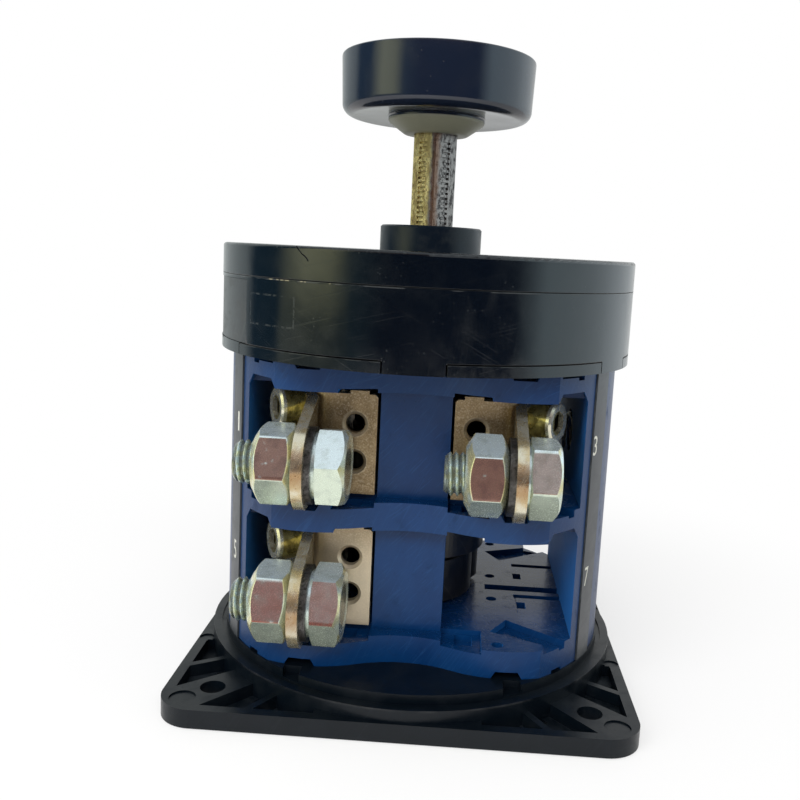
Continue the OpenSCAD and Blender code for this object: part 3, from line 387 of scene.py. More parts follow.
def knobLook():
    s = knobSet
    look = Look("knob black")
    fine = look.streaks(look.unrolled(s["radius"]), *s["streaks"])
    smear = look.cloud(9, 0.45, 0.75, detail=5, rough=0.6)
    speck = look.specks(*s["specks"])
    hub = look.z.step(*s["hubTop"])
    base = look.mix(s["tint"], s["hubTint"], hub)
    base = look.mix(base, s["dust"], smear * 0.10 + fine * 0.05 + speck * 0.5)
    rough = s["rough"] + smear * 0.05 + fine * 0.05 + speck * 0.3 + hub * 0.30
    look.set(Base_Color=base, Roughness=rough.least(0.8), Specular_IOR_Level=s["gloss"])
    height = look.noise(13, detail=2) * 1.4 + look.noise(1.4, detail=2) * (0.05 + hub * 0.3)
    look.bump(height, s["relief"])
    return look


def knob():
    s = knobSet
    middle, height, r = s["rim"]
    rim = []
    for degrees in range(0, 91, 9):
        a = math.radians(degrees)
        rim.append((middle + r * math.sin(a), height - r * math.cos(a)))
    angles = [2 * math.pi * k / s["steps"] for k in range(s["steps"])]
    outline = [*s["hub"], *s["under"], *rim, *s["top"], *s["seat"]]
    verts, faces = [], []
    loft([[(far * mm * math.cos(a), far * mm * math.sin(a), z * mm) for a in angles] for far, z in outline],
         verts, faces)
    half, front, rear = s["bar"]
    first = len(verts)
    rings = []
    for z, inset in s["barTaper"]:
        x, y0, y1 = half - inset, front + inset, rear - inset
        rings.append([(px * mm, py * mm, z * mm) for px, py in ((-x, y0), (x, y0), (x, y1), (-x, y1))])
    loft(rings, verts, faces)
    faces.append(tuple(range(first, first + 4)))
    faces.append(tuple(range(first + 8, first + 12)))
    obj = meshPiece("knobBody", verts, faces, finishes["knob_black"], "rotor", 30, "knob_black")
    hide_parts("knob")


baseSet = {
    "tint": (0.0016, 0.0034, 0.0058),
    "dust": (0.020, 0.025, 0.031),
    # the colour of the painted highlight ring
    "edge": (0.12, 0.12, 0.12),
    "rough": 0.30,
    "gloss": 0.30,
    "relief": 0.07,
    "streaks": ((13, 0.35, 0.6, 0.68), (10, 0.3, 2.2, 0.69)),
    "specks": (1.3, (0.14, 0.08), 6, (0.46, 0.6), (3, 3, 1)),
    "pockets": (5.0, 2.0),          # more dust lies from the first height down to the second
    "ring": (64.4, 0.5, 0.3),       # radius of the painted highlight ring, half its width and its soft edge
    "ringTop": (8.0, 8.5),
}


def baseLook():
    s = baseSet
    look = Look("base black")
    radius = look.vector("LENGTH", look.join(look.x, look.y), out="Value")
    up = look.nz.step(0.4, 0.8)
    low = look.z.step(*s["pockets"]) * up
    dust = look.cloud(7, 0.40, 0.72, detail=6, rough=0.65)
    grit = look.specks(*s["specks"])
    fine = look.streaks(look.place, *s["streaks"])
    # painted highlight: a paler patchy ring at that radius, above the ring's top height
    rubAndPaintedHighlight = radius.near(*s["ring"]) * look.z.step(*s["ringTop"]) * look.cloud(9, 0.42, 0.66, detail=4)
    dirt = dust * (0.12 + low * 0.5) + grit * 0.5 * up + fine * 0.12
    base = look.mix(look.mix(s["tint"], s["dust"], dirt.least(1.0)), s["edge"], rubAndPaintedHighlight * 0.25)
    rough = s["rough"] + dust * 0.18 + grit * 0.3 + low * 0.18 - up * 0.02
    look.set(Base_Color=base, Roughness=rough.least(0.9), Specular_IOR_Level=s["gloss"])
    look.bump(look.noise(0.9, detail=3) * 0.25 + look.noise(10, detail=2) * 0.9 + grit * 0.4, s["relief"])
    return look


blueSet = {
    "tint": srgb(4, 46, 90),
    "deep": srgb(0, 26, 64),
    "pale": srgb(38, 80, 128),
    "grime": srgb(12, 22, 36),
    "inside": srgb(34, 102, 172),   # painted light: a paler blue that lifts the shaded inner walls
    "wall": (48.2, 47.8),           # they end this far from the middle
    "rough": 0.30,
    "gloss": 0.34,
    "relief": 0.07,
    "fibres": ((5, 0.22, 0.5, 0.64), (4, 0.2, 1.9, 0.65)),
    "specks": (1.1, (0.15, 0.09), 7, (0.48, 0.62), (5, 5, 1)),
}


def blueLook():
    s = blueSet
    look = Look("deck blue")
    flow = look.noise(22, detail=4, rough=0.55, stretch=(1, 1, 0.5))
    fibre = look.streaks(look.place, *s["fibres"])
    grime = look.cloud(6, 0.54, 0.74, detail=6, rough=0.7)
    speck = look.specks(*s["specks"])
    # the inner walls are duller than the floors, and painted paler to lift their shade
    inner = abs(look.nx).step(0.80, 0.95) * abs(look.x).step(*s["wall"])
    floor = look.nz.step(0.90, 0.97)
    base = look.mix(s["tint"], s["deep"], flow.step(0.40, 0.72) * 0.55)
    base = look.mix(base, s["pale"], fibre * 0.20)
    base = look.mix(base, s["grime"], (grime * 0.30 + speck * 0.5).least(1.0))
    # painted light on the inner walls
    base = look.mix(base, s["inside"], inner * 0.9)
    rough = s["rough"] + flow * 0.10 + grime * 0.20 + speck * 0.2 + inner * 0.35 - floor * 0.14
    look.set(Base_Color=base, Roughness=rough.least(0.9), Specular_IOR_Level=s["gloss"])
    look.bump(look.noise(0.7, detail=3) * 0.3 + look.noise(9, detail=2) * 1.2 + fibre * 0.1, s["relief"])
    return look


stripSet = {
    "tint": srgb(44, 48, 52),
    "dust": srgb(84, 86, 86),
    "rough": 0.36,
    "relief": 0.02,
    "streaks": (9, 0.3, 1.2, 0.66),
}


def stripLook():
    s = stripSet
    look = Look("strip grey")
    dust = look.cloud(5, 0.42, 0.72, detail=6, rough=0.65)
    base = look.mix(s["tint"], s["dust"], dust * 0.40 + look.streaks(look.place, s["streaks"]) * 0.25)
    look.set(Base_Color=base, Roughness=s["rough"] + dust * 0.15)
    look.bump(look.noise(0.8, detail=3), s["relief"])
    return look


# the bare plate on the drum's left side
labelSet = {
    "tint": srgb(38, 40, 41),
    "wiped": srgb(76, 77, 75),
    "rough": 0.30,
    "gloss": 0.5,
    "relief": 0.04,
    "streaks": ((9, 0.25, 0.2, 0.66), (12, 0.25, 1.3, 0.67)),
}


def labelLook():
    s = labelSet
    look = Look("label black")
    wipe = look.cloud(9, 0.40, 0.70, detail=5, rough=0.6, stretch=(1, 1, 2))
    fine = look.streaks(look.place, *s["streaks"])
    base = look.mix(s["tint"], s["wiped"], wipe * 0.35 + fine * 0.4)
    look.set(Base_Color=base, Roughness=s["rough"] + wipe * 0.15, Specular_IOR_Level=s["gloss"])
    look.bump(look.noise(7, detail=2) + fine * -0.1, s["relief"])
    return look


shaftSet = {
    "gold": srgb(232, 214, 146),
    "tarnish": srgb(158, 138, 82),
    "brown": srgb(112, 80, 58),
    "silver": srgb(138, 132, 128),
    "soot": srgb(30, 28, 30),
    "metal": 0.7,
    "rough": 0.20,
    "relief": 0.05,
    "goldEnds": (-0.4, -1.6),       # across the bar: the painted gold reflection fades in from right to left
    "brownAt": (0.6, 1.0, 0.7),     # middle of the painted brown reflection on the corner, half its width and its soft edge
}


# the square bar, in painted reflections: gold on its left, a brown corner, silver on its right, the silver
# crackled
def shaftLook():
    s = shaftSet
    look = Look("shaft zinc")
    grain = look.noise(0.5, detail=4, rough=0.65, stretch=(1, 1, 0.5))
    crackle = look.noise(0.9, detail=5, rough=0.75, stretch=(1, 1, 0.35))
    stain = look.cloud(1.5, 0.40, 0.58, detail=4, rough=0.65, stretch=(1, 1, 0.4), shift=(6, 2, 4))
    wave = look.x + (look.noise(2.4, detail=3) - 0.5) * 2.0
    left = wave.step(*s["goldEnds"])
    corner = wave.near(*s["brownAt"])
    silver = look.mix(s["silver"], s["soot"], crackle.step(0.47, 0.58) * 0.8)
    # painted reflection: gold on the left, silver on the right
    base = look.mix(silver, look.mix(s["gold"], s["tarnish"], stain * 0.85), left)
    base = look.mix(base, s["brown"], (corner * 0.8 + left * grain.step(0.48, 0.66) * 0.8).least(1.0))
    look.set(Base_Color=base, Metallic=s["metal"], Roughness=s["rough"] + grain * 0.16 + stain * 0.06)
    look.bump(grain * 0.6 - stain * 0.4 - crackle.step(0.52, 0.60) * 0.8, s["relief"])
    return look


collarSet = {
    "tint": (0.0028, 0.0062, 0.0112),
    "dust": (0.018, 0.022, 0.024),
    "rough": 0.33,
    "gloss": 0.38,
    "relief": 0.04,
}


def collarLook():
    s = collarSet
    look = Look("collar black")
    dust = look.cloud(5, 0.42, 0.7, detail=5, rough=0.6)
    base = look.mix(s["tint"], s["dust"], dust * 0.4)
    look.set(Base_Color=base, Roughness=s["rough"] + dust * 0.12, Specular_IOR_Level=s["gloss"])
    look.bump(look.noise(0.7, detail=3) * 0.4 + look.noise(6, detail=1), s["relief"])
    return look


camSet = {
    "tint": (0.010, 0.010, 0.011),
    "dust": (0.050, 0.049, 0.047),
    "rough": 0.32,
    "relief": 0.03,
    "streaks": (8, 0.3, 0.1, 0.64),
}


def camLook():
    s = camSet
    look = Look("cam black")
    dust = look.cloud(4, 0.42, 0.7, detail=5, rough=0.6)
    base = look.mix(s["tint"], s["dust"], dust * 0.35 + look.streaks(look.place, s["streaks"]) * 0.4)
    look.set(Base_Color=base, Roughness=s["rough"] + dust * 0.2)
    look.bump(look.noise(0.8, detail=3), s["relief"])
    return look


sliderSet = {
    "tint": srgb(214, 205, 182),
    "shade": srgb(172, 158, 128),
    "rough": 0.42,
    "relief": 0.03,
}


def sliderLook():
    s = sliderSet
    look = Look("slider cream")
    tone = look.cloud(6, 0.4, 0.7, detail=5)
    look.set(Base_Color=look.mix(s["tint"], s["shade"], tone * 0.5), Roughness=s["rough"] + tone * 0.12)
    look.bump(look.noise(0.9, detail=3), s["relief"])
    return look


metalSet = {
    "metal": 0.8,
    "relief": 0.05,
    "streaks": ((7.2, 0.192, 0.5, 0.60), (6.0, 0.168, 1.6, 0.62)),
    # bright and dull tone, roughness, size of the clouds and of the pits
    "kinds": {
        "bridge_copper": (srgb(214, 148, 104), srgb(140, 84, 54), 0.28, 5, 0.5),
        "contact_silver": (srgb(226, 224, 216), srgb(140, 134, 124), 0.26, 1.8, 0.5),
        "zinc_steel": (srgb(214, 222, 218), srgb(146, 152, 140), 0.20, 1.7, 0.35),
        "dark_steel": (srgb(96, 94, 92), srgb(34, 32, 30), 0.30, 2.0, 0.5),
        "spring_steel": (srgb(190, 190, 186), srgb(96, 92, 84), 0.24, 1.5, 0.5),
    },
}


# a worn metal: two tones in clouds, fine pits, rubbed streaks
def metalLook(name, bright, dull, rough, cloud, pits):
    s = metalSet
    look = Look(name)
    tone = look.cloud(cloud, 0.36, 0.66, detail=5, rough=0.62)
    pit = look.cloud(pits, 0.50, 0.66, detail=3, rough=0.6)
    rubAndPaintedHighlight = look.streaks(look.place, *s["streaks"])
    base = look.mix(bright, dull, (tone * 0.75 + pit * 0.35 - rubAndPaintedHighlight * 0.25).most(0.0).least(1.0))
    rough = (rough + tone * 0.12 + pit * 0.14 - rubAndPaintedHighlight * 0.06).most(0.08)
    look.set(Base_Color=base, Metallic=s["metal"], Roughness=rough)
    height = tone * -0.5 + pit * -0.5 + rubAndPaintedHighlight * 0.35 + look.noise(cloud * 2, detail=1) * 1.5
    look.bump(height, s["relief"])
    return look


clampSet = {
    "zinc": srgb(176, 162, 100),
    "aged": srgb(84, 74, 34),
    # painted highlight on the screws' end faces
    "face": srgb(216, 212, 190),
    # painted shade in the sockets
    "socket": (0.012, 0.011, 0.008),
    "metal": 0.85,
    "rough": 0.20,
    "relief": 0.03,
    "axis": (32.02, 33.0),          # where a screw's axis crosses the lug's outer face, without signs
    "turn": 30,                     # of the axis from the front, in degrees
    "z": (43.2, 82.1),
    "height": 7.2,                  # of head and washer together
    "wide": 4.2,                    # radius of the socket's mouth
}


# cap screws turned 30 degrees to the front, the same on all four corners, with a painted highlight on the
# end face and painted shade in the socket
def clampLook():
    s = clampSet
    look = Look("yellow zinc")
    dx, dy = abs(look.x) - s["axis"][0], abs(look.y) - s["axis"][1]
    c, k = math.cos(math.radians(s["turn"])), math.sin(math.radians(s["turn"]))
    along = dx * c + dy * k
    off = dx * k - dy * c
    dz = abs(look.z - s["z"][0]).least(abs(look.z - s["z"][1]))
    radius = look.hypot(off, dz)
    high, wide = s["height"], s["wide"]
    # painted highlight on the end face round the socket, painted shade inside it
    face = along.step(high - 0.35, high - 0.05) * radius.step(wide - 0.9, wide - 0.7)
    socket = along.step(high - 0.15, high - 0.45) * radius.step(wide + 0.2, wide)
    cloud = look.cloud(2.4, 0.38, 0.66, detail=4, rough=0.6)
    base = look.mix(look.mix(s["zinc"], s["aged"], cloud * 0.8), s["face"], face)
    base = look.mix(base, s["socket"], socket)
    look.set(Base_Color=base, Metallic=s["metal"], Roughness=s["rough"] + cloud * 0.10 + socket * 0.4)
    look.bump(look.noise(0.4, detail=3) * 0.5 + look.noise(4, detail=1), s["relief"])
    return look


plateSet = {
    "tan": srgb(158, 136, 102),
    "dark": srgb(98, 80, 56),
    # pale: the grain, the painted light on the lower plates and the painted highlight round the holes
    "pale": srgb(226, 212, 186),
    "metal": 0.75,
    "rough": 0.34,
    "relief": 0.05,
    "specks": (0.9, (0.20, 0.08), 3.5, (0.46, 0.58), (7, 0, 2)),
    "paler": (56, 34),              # painted light: the lower plates are painted paler than the upper ones
    "holeX": 17.0,
    "holeZ": (29.0, 39.8, 67.9, 78.7),
    "rim": (3.3, 0.4, 0.4),         # radius of the painted highlight round each hole, half its width and its soft edge
}


def plateLook():
    s = plateSet
    look = Look("copper tan")
    cloud = look.noise(7, detail=5, rough=0.6)
    grain = look.noise(0.45, detail=2, rough=0.6)
    spots = look.specks(*s["specks"])
    base = look.mix(s["tan"], s["dark"], cloud.step(0.42, 0.70) * 0.55)
    base = look.mix(base, s["pale"], grain.step(0.52, 0.66) * 0.30)
    base = look.mix(base, s["dark"], (grain.step(0.46, 0.36) * 0.35 + spots * 0.5).least(1.0))
    # painted light: the lower plates are paler
    base = look.mix(base, s["pale"], look.z.step(*s["paler"]) * 0.7)
    # painted highlights round the countersinks of the threaded holes
    dz = abs(look.z - s["holeZ"][0])
    for z in s["holeZ"][1:]:
        dz = dz.least(abs(look.z - z))
    rim = look.hypot(abs(look.x) - s["holeX"], dz).near(*s["rim"]) * cloud.step(0.35, 0.5)
    base = look.mix(base, s["pale"], rim * 0.4)
    rough = s["rough"] + grain * 0.14 + spots * 0.2
    look.set(Base_Color=base, Metallic=s["metal"], Roughness=rough.least(0.9))
    look.bump(grain + cloud * 0.6 - spots * 0.6, s["relief"])
    return look


lugSet = {
    "tin": srgb(226, 220, 196),
    "gold": srgb(204, 182, 134),
    # brown: the painted reflection on the front of the rim, and the grain
    "brown": srgb(142, 104, 68),
    "metal": 0.82,
    "rough": 0.17,
    "relief": 0.025,
    "streaks": (5, 0.16, 1.4, 0.62),
}


# tinned lugs; where the rim faces the front it is painted brown, a painted reflection
def lugLook():
    s = lugSet
    look = Look("tinned copper")
    cloud = look.noise(4.5, detail=4, rough=0.6)
    grain = look.noise(0.5, detail=3)
    rubAndPaintedHighlight = look.streaks(look.place, s["streaks"])
    # painted reflection: the rim is painted brown where it faces the front
    wearAndPaintedReflection = look.nz.near(0.05, 0.34, 0.26) * (look.ny * -1).step(0.55, 0.85)
    base = look.mix(s["tin"], s["gold"], cloud.step(0.38, 0.62) * 0.8)
    base = look.mix(base, s["brown"], (wearAndPaintedReflection * 0.75 + grain.step(0.56, 0.70) * 0.2 - rubAndPaintedHighlight * 0.2).most(0.0))
    rough = s["rough"] + cloud * 0.12 + grain.step(0.5, 0.7) * 0.06
    look.set(Base_Color=base, Metallic=s["metal"], Roughness=rough)
    look.bump(grain * 0.4 + rubAndPaintedHighlight * 0.3 + look.noise(8, detail=1) * 1.5, s["relief"])
    return look


boltSet = {
    "z": (30.2, 69.1),              # height of the bolt axis in each deck
    "y": 49.1,                      # its distance from the middle, front and rear
    # for each terminal: its deck, left or right, front or rear, and the turn of its head and nut in degrees
    "terminals": ((1, -1, -1, -20, 21), (1, -1, 1, 16, -18), (1, 1, -1, 24, 8), (1, 1, 1, -16, 19),
                  (0, -1, -1, 23, 22), (0, -1, 1, 20, -25)),
    # along the axis, left and right: the seats of head and nut, and the bolt's tip
    "headX": {-1: -25.8, 1: 30.5},
    "nutX": {-1: -30.5, 1: 25.8},
    "endX": {-1: -47.5, 1: 8.8},
    "flats": 19.6,
    "headH": 9.0,
    "seatH": 0.8,
    "nutH": 11.5,
    # radius of the round end face against half the flats, how steeply the corners fall away at the outer
    # end, and by which share of that at the inner end
    "headEnd": (0.93, 0.75, 0.35),
    "nutEnd": (0.78, 0.62, 0.9),
    "dish": (0.82, 0.78, 0.35),     # rings of the head's dish against the round end face
    "dishDepth": 0.15,
    "bore": 6.05,
    "mouth": (0.75, 1.0),           # how much wider than the bore its mouths are, and how deep
    "thread": 12.0,
    "crest": 5.98,
    "root": 5.05,
    "pitch": 1.75,
    "threadIn": 1.2,                # how far inside the nut the thread starts
    "threadSteps": 9,               # in each pitch
    "chamfer": (0.35, 0.85),        # how far inside the root it meets the bolt's end, and its slope
    "edge": (0.22, 24),             # width of the soft edges, and from which angle
    "steps": 144,
    # painted reflections: high on faces that look up, low on faces that look down
    "high": srgb(217, 232, 236),
    "low": srgb(212, 224, 204),
    "dull": srgb(168, 180, 170),
    # painted reflections: gold where the corners fall away, green and blue on the threads
    "gold": srgb(206, 196, 132),
    "green": srgb(178, 180, 118),
    "blue": srgb(160, 188, 200),
    # painted reflection on the flats that face the front
    "rosy": srgb(140, 98, 82),
    "rosyDark": srgb(98, 62, 58),
    "red": srgb(148, 66, 50),
    # dark specks, and the painted shade in the thread valleys
    "darkSpotAndShade": srgb(74, 70, 56),
    "metal": 0.68,
    "rough": 0.20,
    "relief": 0.03,
    "streaks": (5, 0.14, 0.7, 0.64),
    "specks": (0.7, (0.20, 0.06), 2.5, (0.52, 0.62), (1, 6, 2)),
    "redder": (52, 46),             # the painted reflection is redder in the lower deck
}
boltAngles = [2 * math.pi * k / boltSet["steps"] for k in range(boltSet["steps"])]


# the zinc on the bolts, with painted reflections: bluish above, greenish below, and rosy on the flats that
# face the front
def boltLook():
    s = boltSet
    look = Look("bolt zinc")
    grain = look.noise(0.36, detail=3, rough=0.6)
    cloud = look.noise(3.0, detail=4, rough=0.6)
    spots = look.specks(*s["specks"])
    rubAndPaintedHighlight = look.streaks(look.place, s["streaks"])
    dull = grain.step(0.44, 0.70)
    half, thick = s["flats"] / 2, s["thread"] / 2
    dz = abs(look.z - s["z"][0]).least(abs(look.z - s["z"][1]))
    radius = look.hypot(abs(look.y) - s["y"], dz)
    # painted reflection: rosy on the flats that face the front
    front = (look.ny * -1).step(0.86, 0.95) * look.nz.step(-0.36, -0.25) * cloud.step(0.26, 0.38)
    front = front * radius.step(half - 0.55, half - 0.2)
    # painted shade and reflection: darker threads tinted green and blue, painted shade in their valleys,
    # and painted gold reflections where the corners fall away
    thread = radius.step(thick + 0.3, thick - 0.1)
    valleyShade = radius.step(thick - 0.15, thick - 0.7)
    fall = abs(look.nx).step(0.22, 0.42) * abs(look.nx).step(0.97, 0.85) * (1 - thread)
    # painted reflection: bluish on faces that look up, greenish on faces that look down
    tone = look.mix(s["low"], s["high"], look.nz.step(-0.5, 0.7))
    tone = look.mix(tone, s["dull"], (dull * 0.20 + cloud.step(0.48, 0.66) * 0.45).least(1.0))
    tone = look.mix(tone, s["gold"], fall * look.cloud(5, 0.36, 0.60, detail=2, shift=(0, 3, 8)) * 0.75)
    tint = look.mix(s["green"], s["blue"], look.cloud(1.6, 0.42, 0.58, detail=3, shift=(8, 1, 0)))
    tone = look.mix(look.mix(tone, tint, thread * 0.55), s["darkSpotAndShade"], valleyShade * 0.65)
    # the painted rosy reflection, redder in the lower deck
    paintedFrontReflection = look.mix(s["rosy"], s["rosyDark"], grain.step(0.40, 0.64) * 0.6 + cloud.step(0.5, 0.6) * 0.4)
    paintedFrontReflection = look.mix(paintedFrontReflection, s["red"], look.z.step(*s["redder"]) * cloud.step(0.30, 0.55) * 0.7)
    base = look.mix(look.mix(tone, paintedFrontReflection, front * 0.95), s["darkSpotAndShade"], spots * 0.5)
    rough = s["rough"] + dull * 0.10 + spots * 0.15 + front * 0.05 - rubAndPaintedHighlight * 0.04
    look.set(Base_Color=base, Metallic=s["metal"], Roughness=rough)
    look.bump(grain * 0.5 - spots * 0.5 + rubAndPaintedHighlight * 0.3 + look.noise(5, detail=1) * 2, s["relief"])
    return look


# the level axis of one terminal's bolt
class BoltAxis:
    def __init__(self, y, z):
        self.y = y
        self.z = z

    def point(self, x, r, a):
        return x * mm, (self.y - r * math.cos(a)) * mm, (self.z + r * math.sin(a)) * mm

    def ring(self, x, r):
        return [self.point(x, r, a) for a in boltAngles]

    # a ring round the hexagon; outside the face's radius its points fall back from x by the slope
    def hexRing(self, x, turn, face, slope):
        points = []
        for a in boltAngles:
            off = (a - turn + math.pi / 6) % (math.pi / 3) - math.pi / 6
            r = boltSet["flats"] / 2 / math.cos(off)
            points.append(self.point(x - (r - face) * slope, r, a))
        return points


def headRings(axis, side, turn):
    s = boltSet
    share, slope, inner = s["headEnd"]
    face = s["flats"] / 2 * share
    x = s["headX"][side]
    low, out = x + s["seatH"], x + s["headH"]
    dish = out - s["dishDepth"]
    lip, foot, middle = [face * part for part in s["dish"]]
    return [axis.ring(x, 0), axis.ring(x, face), axis.ring(low, face),
            axis.hexRing(low, turn, face, -slope * inner), axis.hexRing(out, turn, face, slope),
            axis.ring(out, face), axis.ring(out, lip), axis.ring(dish, foot), axis.ring(dish, middle),
            axis.ring(dish, 0)]


def nutRings(axis, side, turn):
    s = boltSet
    share, slope, inner = s["nutEnd"]
    face, bore = s["flats"] / 2 * share, s["bore"]
    mouth, deep = bore + s["mouth"][0], s["mouth"][1]
    x1 = s["nutX"][side]
    x0 = x1 - s["nutH"]
    return [axis.ring(x0 + deep, bore), axis.ring(x0, mouth), axis.ring(x0, face),
            axis.hexRing(x0, turn, face, -slope), axis.hexRing(x1, turn, face, slope * inner),
            axis.ring(x1, face), axis.ring(x1, mouth), axis.ring(x1 - deep, bore),
            axis.ring(x0 + deep, bore)]


def shankRings(axis, side):
    s = boltSet
    crest, root, pitch = s["crest"], s["root"], s["pitch"]
    inset, slope = s["chamfer"]
    under, end = s["headX"][side] + 0.05, s["endX"][side]
    x = s["nutX"][side] - s["nutH"] + s["threadIn"]
    rings = [axis.ring(under, 0), axis.ring(under, crest), axis.ring(x, crest)]
    while x > end - 1e-6:
        chamfer = root - inset + (x - end) * slope
        row = []
        for a in boltAngles:
            phase = ((x - end) / pitch + a / (2 * math.pi)) % 1.0
            # flat at the crest and at the root, sloped between them
            tooth = min(1.0, max(0.0, abs(phase - 0.5) * 2.5 - 0.12))
            row.append(axis.point(x, min(root + (crest - root) * tooth, chamfer), a))
        rings.append(row)
        x -= pitch / s["threadSteps"]
    return rings + [axis.ring(end, root - 0.45), axis.ring(end, 2.5), axis.ring(end, 0)]


def bolts():
    s = boltSet
    zinc = boltLook()
    boltParts, nutParts = ([], []), ([], [])
    for deck, side, end, headTurn, nutTurn in s["terminals"]:
        axis = BoltAxis(end * s["y"], s["z"][deck])
        loft(headRings(axis, side, math.radians(headTurn)), *boltParts)
        loft(shankRings(axis, side), *boltParts)
        loft(nutRings(axis, side, math.radians(nutTurn)), *nutParts)
    bolt = meshPiece("terminalBolts", *boltParts, zinc, "housing", 28, "zinc_steel")
    nut = meshPiece("terminalNuts", *nutParts, zinc, "housing", 28, "zinc_steel")
    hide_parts("terminal_bolts")
    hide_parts("terminal_nuts")
    soften(bolt, *s["edge"])
    soften(nut, *s["edge"])


springSet = {
    "x": (33.65, 49.4),
    "z": (34.45, 73.35),            # height of the axis in each deck
    "mean": 10.4,
    "wire": 1.3,
    "turns": 5.0,
    "flat": 0.16,                   # the share of the wire that lies flat at the ends
    "steps": 40,                    # in each turn
    "sides": 14,                    # round the wire
    "springs": {"1_2": (-1, 1), "3_4": (1, 1), "5_6": (-1, 0)},     # side and deck
}


def springs():
    s = springSet
    thick, sides = s["wire"] / 2, s["sides"]
    x0, x1 = s["x"][0] + thick, s["x"][1] - thick
    count = int(s["turns"] * s["steps"])
    for pair, (side, deck) in s["springs"].items():
        verts, faces, rings = [], [], []
        for i in range(count + 1):
            t = i / count
            # end turns lie flat
            travel = min(1.0, max(0.0, (t - s["flat"] / 2) / (1 - s["flat"])))
            x = x0 + (x1 - x0) * travel
            a = 2 * math.pi * s["turns"] * t
            row = []
            for k in range(sides):
                b = 2 * math.pi * k / sides
                r = s["mean"] / 2 + thick * math.cos(b)
                row.append((side * (x + thick * math.sin(b)) * mm, r * math.cos(a) * mm,
                            (s["z"][deck] + r * math.sin(a)) * mm))
            rings.append(row)
        loft(rings, verts, faces)
        faces.append(tuple(range(sides - 1, -1, -1)))
        faces.append(tuple(range(count * sides, count * sides + sides)))
        obj = meshPiece("contactSpring_" + pair, verts, faces, finishes["spring_steel"], "housing", 60,
                        "spring_steel")
        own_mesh(obj)
        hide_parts("contact_spring_" + pair)


digitSet = {
    "tint": srgb(208, 208, 196),
    "chipped": srgb(120, 120, 112),
    "rough": 0.5,
    "tall": 5.7,
    "wide": 2.4,
    "narrow": 0.5,                  # the 1's width against the others'
    "radius": 60.0,
    "lift": 0.012,
    # digit, angle from the front, height of its middle
    "digits": (("1", -59.4, 76.2), ("5", -60.6, 37.2), ("3", 58.4, 75.2), ("7", 59.2, 36.1),
               ("2", -120, 75.5), ("6", -120, 36.5), ("4", 120, 75.5), ("8", 120, 36.5)),
}


def digitLook():
    s = digitSet
    look = Look("digit white")
    chipAndPaintedHighlight = look.cloud(0.6, 0.60, 0.72, detail=4, rough=0.7)
    look.set(Base_Color=look.mix(s["tint"], s["chipped"], chipAndPaintedHighlight), Roughness=s["rough"] + chipAndPaintedHighlight * 0.2)
    return look


# the built-in plain font, flat, bent onto the strips
def digits():
    s = digitSet
    paint = digitLook()
    for digit, angle, z in s["digits"]:
        curve = bpy.data.curves.new("digit", "FONT")
        curve.body = digit
        curve.align_x = "CENTER"
        curve.align_y = "CENTER"
        temp = bpy.data.objects.new("digit", curve)
        bpy.context.collection.objects.link(temp)
        bpy.context.view_layer.update()
        flat = bpy.data.meshes.new_from_object(temp.evaluated_get(bpy.context.evaluated_depsgraph_get()))
        bpy.data.objects.remove(temp)
        xs = [v.co.x for v in flat.vertices]
        ys = [v.co.y for v in flat.vertices]
        kx = s["wide"] / (max(xs) - min(xs)) * (s["narrow"] if digit == "1" else 1)
        ky = s["tall"] / (max(ys) - min(ys))
        mx, my = (max(xs) + min(xs)) / 2, (max(ys) + min(ys)) / 2
        r = (s["radius"] + s["lift"]) * mm
        verts = []
        for v in flat.vertices:
            a = math.radians(angle) + (v.co.x - mx) * kx / s["radius"]
            verts.append((r * math.sin(a), -r * math.cos(a), (z + (v.co.y - my) * ky) * mm))
        faces = [tuple(f.vertices) for f in flat.polygons]
        meshPiece("digit_" + digit, verts, faces, paint, "housing", 60)
        bpy.data.meshes.remove(flat)


floorSet = {
    "colour": (0.90, 0.90, 0.90),
    "cloud": 0.985,                 # how much of that colour its faint clouds keep
    "rough": 0.8,
    "gloss": 0.1,
    "radius": 0.62,
    "drop": 0.0004,                 # a hair under the base
    "shade": (0.05, 0.24),          # the shadow fades out between these distances from the axis
    "keep": 0.45,                   # how much of it is kept near the object
    "steps": 96,
}


def floor():
    s = floorSet
    look = Look("floor")
    radius = look.vector("LENGTH", look.place, out="Value") * mm
    cloudy = tuple(c * s["cloud"] for c in s["colour"])
    base = look.mix(s["colour"], cloudy, look.noise(60, detail=3))
    look.set(Base_Color=base, Roughness=s["rough"], Specular_IOR_Level=s["gloss"])
    seen = look.node("ShaderNodeLightPath", {}, {}, "Is Camera Ray")
    bare = radius.step(*s["shade"]) * s["keep"] + (1 - s["keep"])
    white = look.node("ShaderNodeEmission", {}, {"Color": (1, 1, 1, 1), "Strength": 1.0})
    shaded = Sock(look, look.shader.outputs[0])
    both = look.node("ShaderNodeMixShader", {}, {0: seen * bare, 1: shaded, 2: white})
    look.feed(look.tree.nodes["Material Output"].inputs["Surface"], both)
    mesh = bpy.data.meshes.new("floor")
    angles = [2 * math.pi * k / s["steps"] for k in range(s["steps"])]
    ring = [(s["radius"] * math.cos(a), s["radius"] * math.sin(a), 0) for a in angles]
    mesh.from_pydata(ring, [], [tuple(range(s["steps"]))])
    mesh.materials.append(look.mat)
    obj = bpy.data.objects.new("floor", mesh)
    obj.location.z = -s["drop"]
    bpy.context.collection.objects.link(obj)


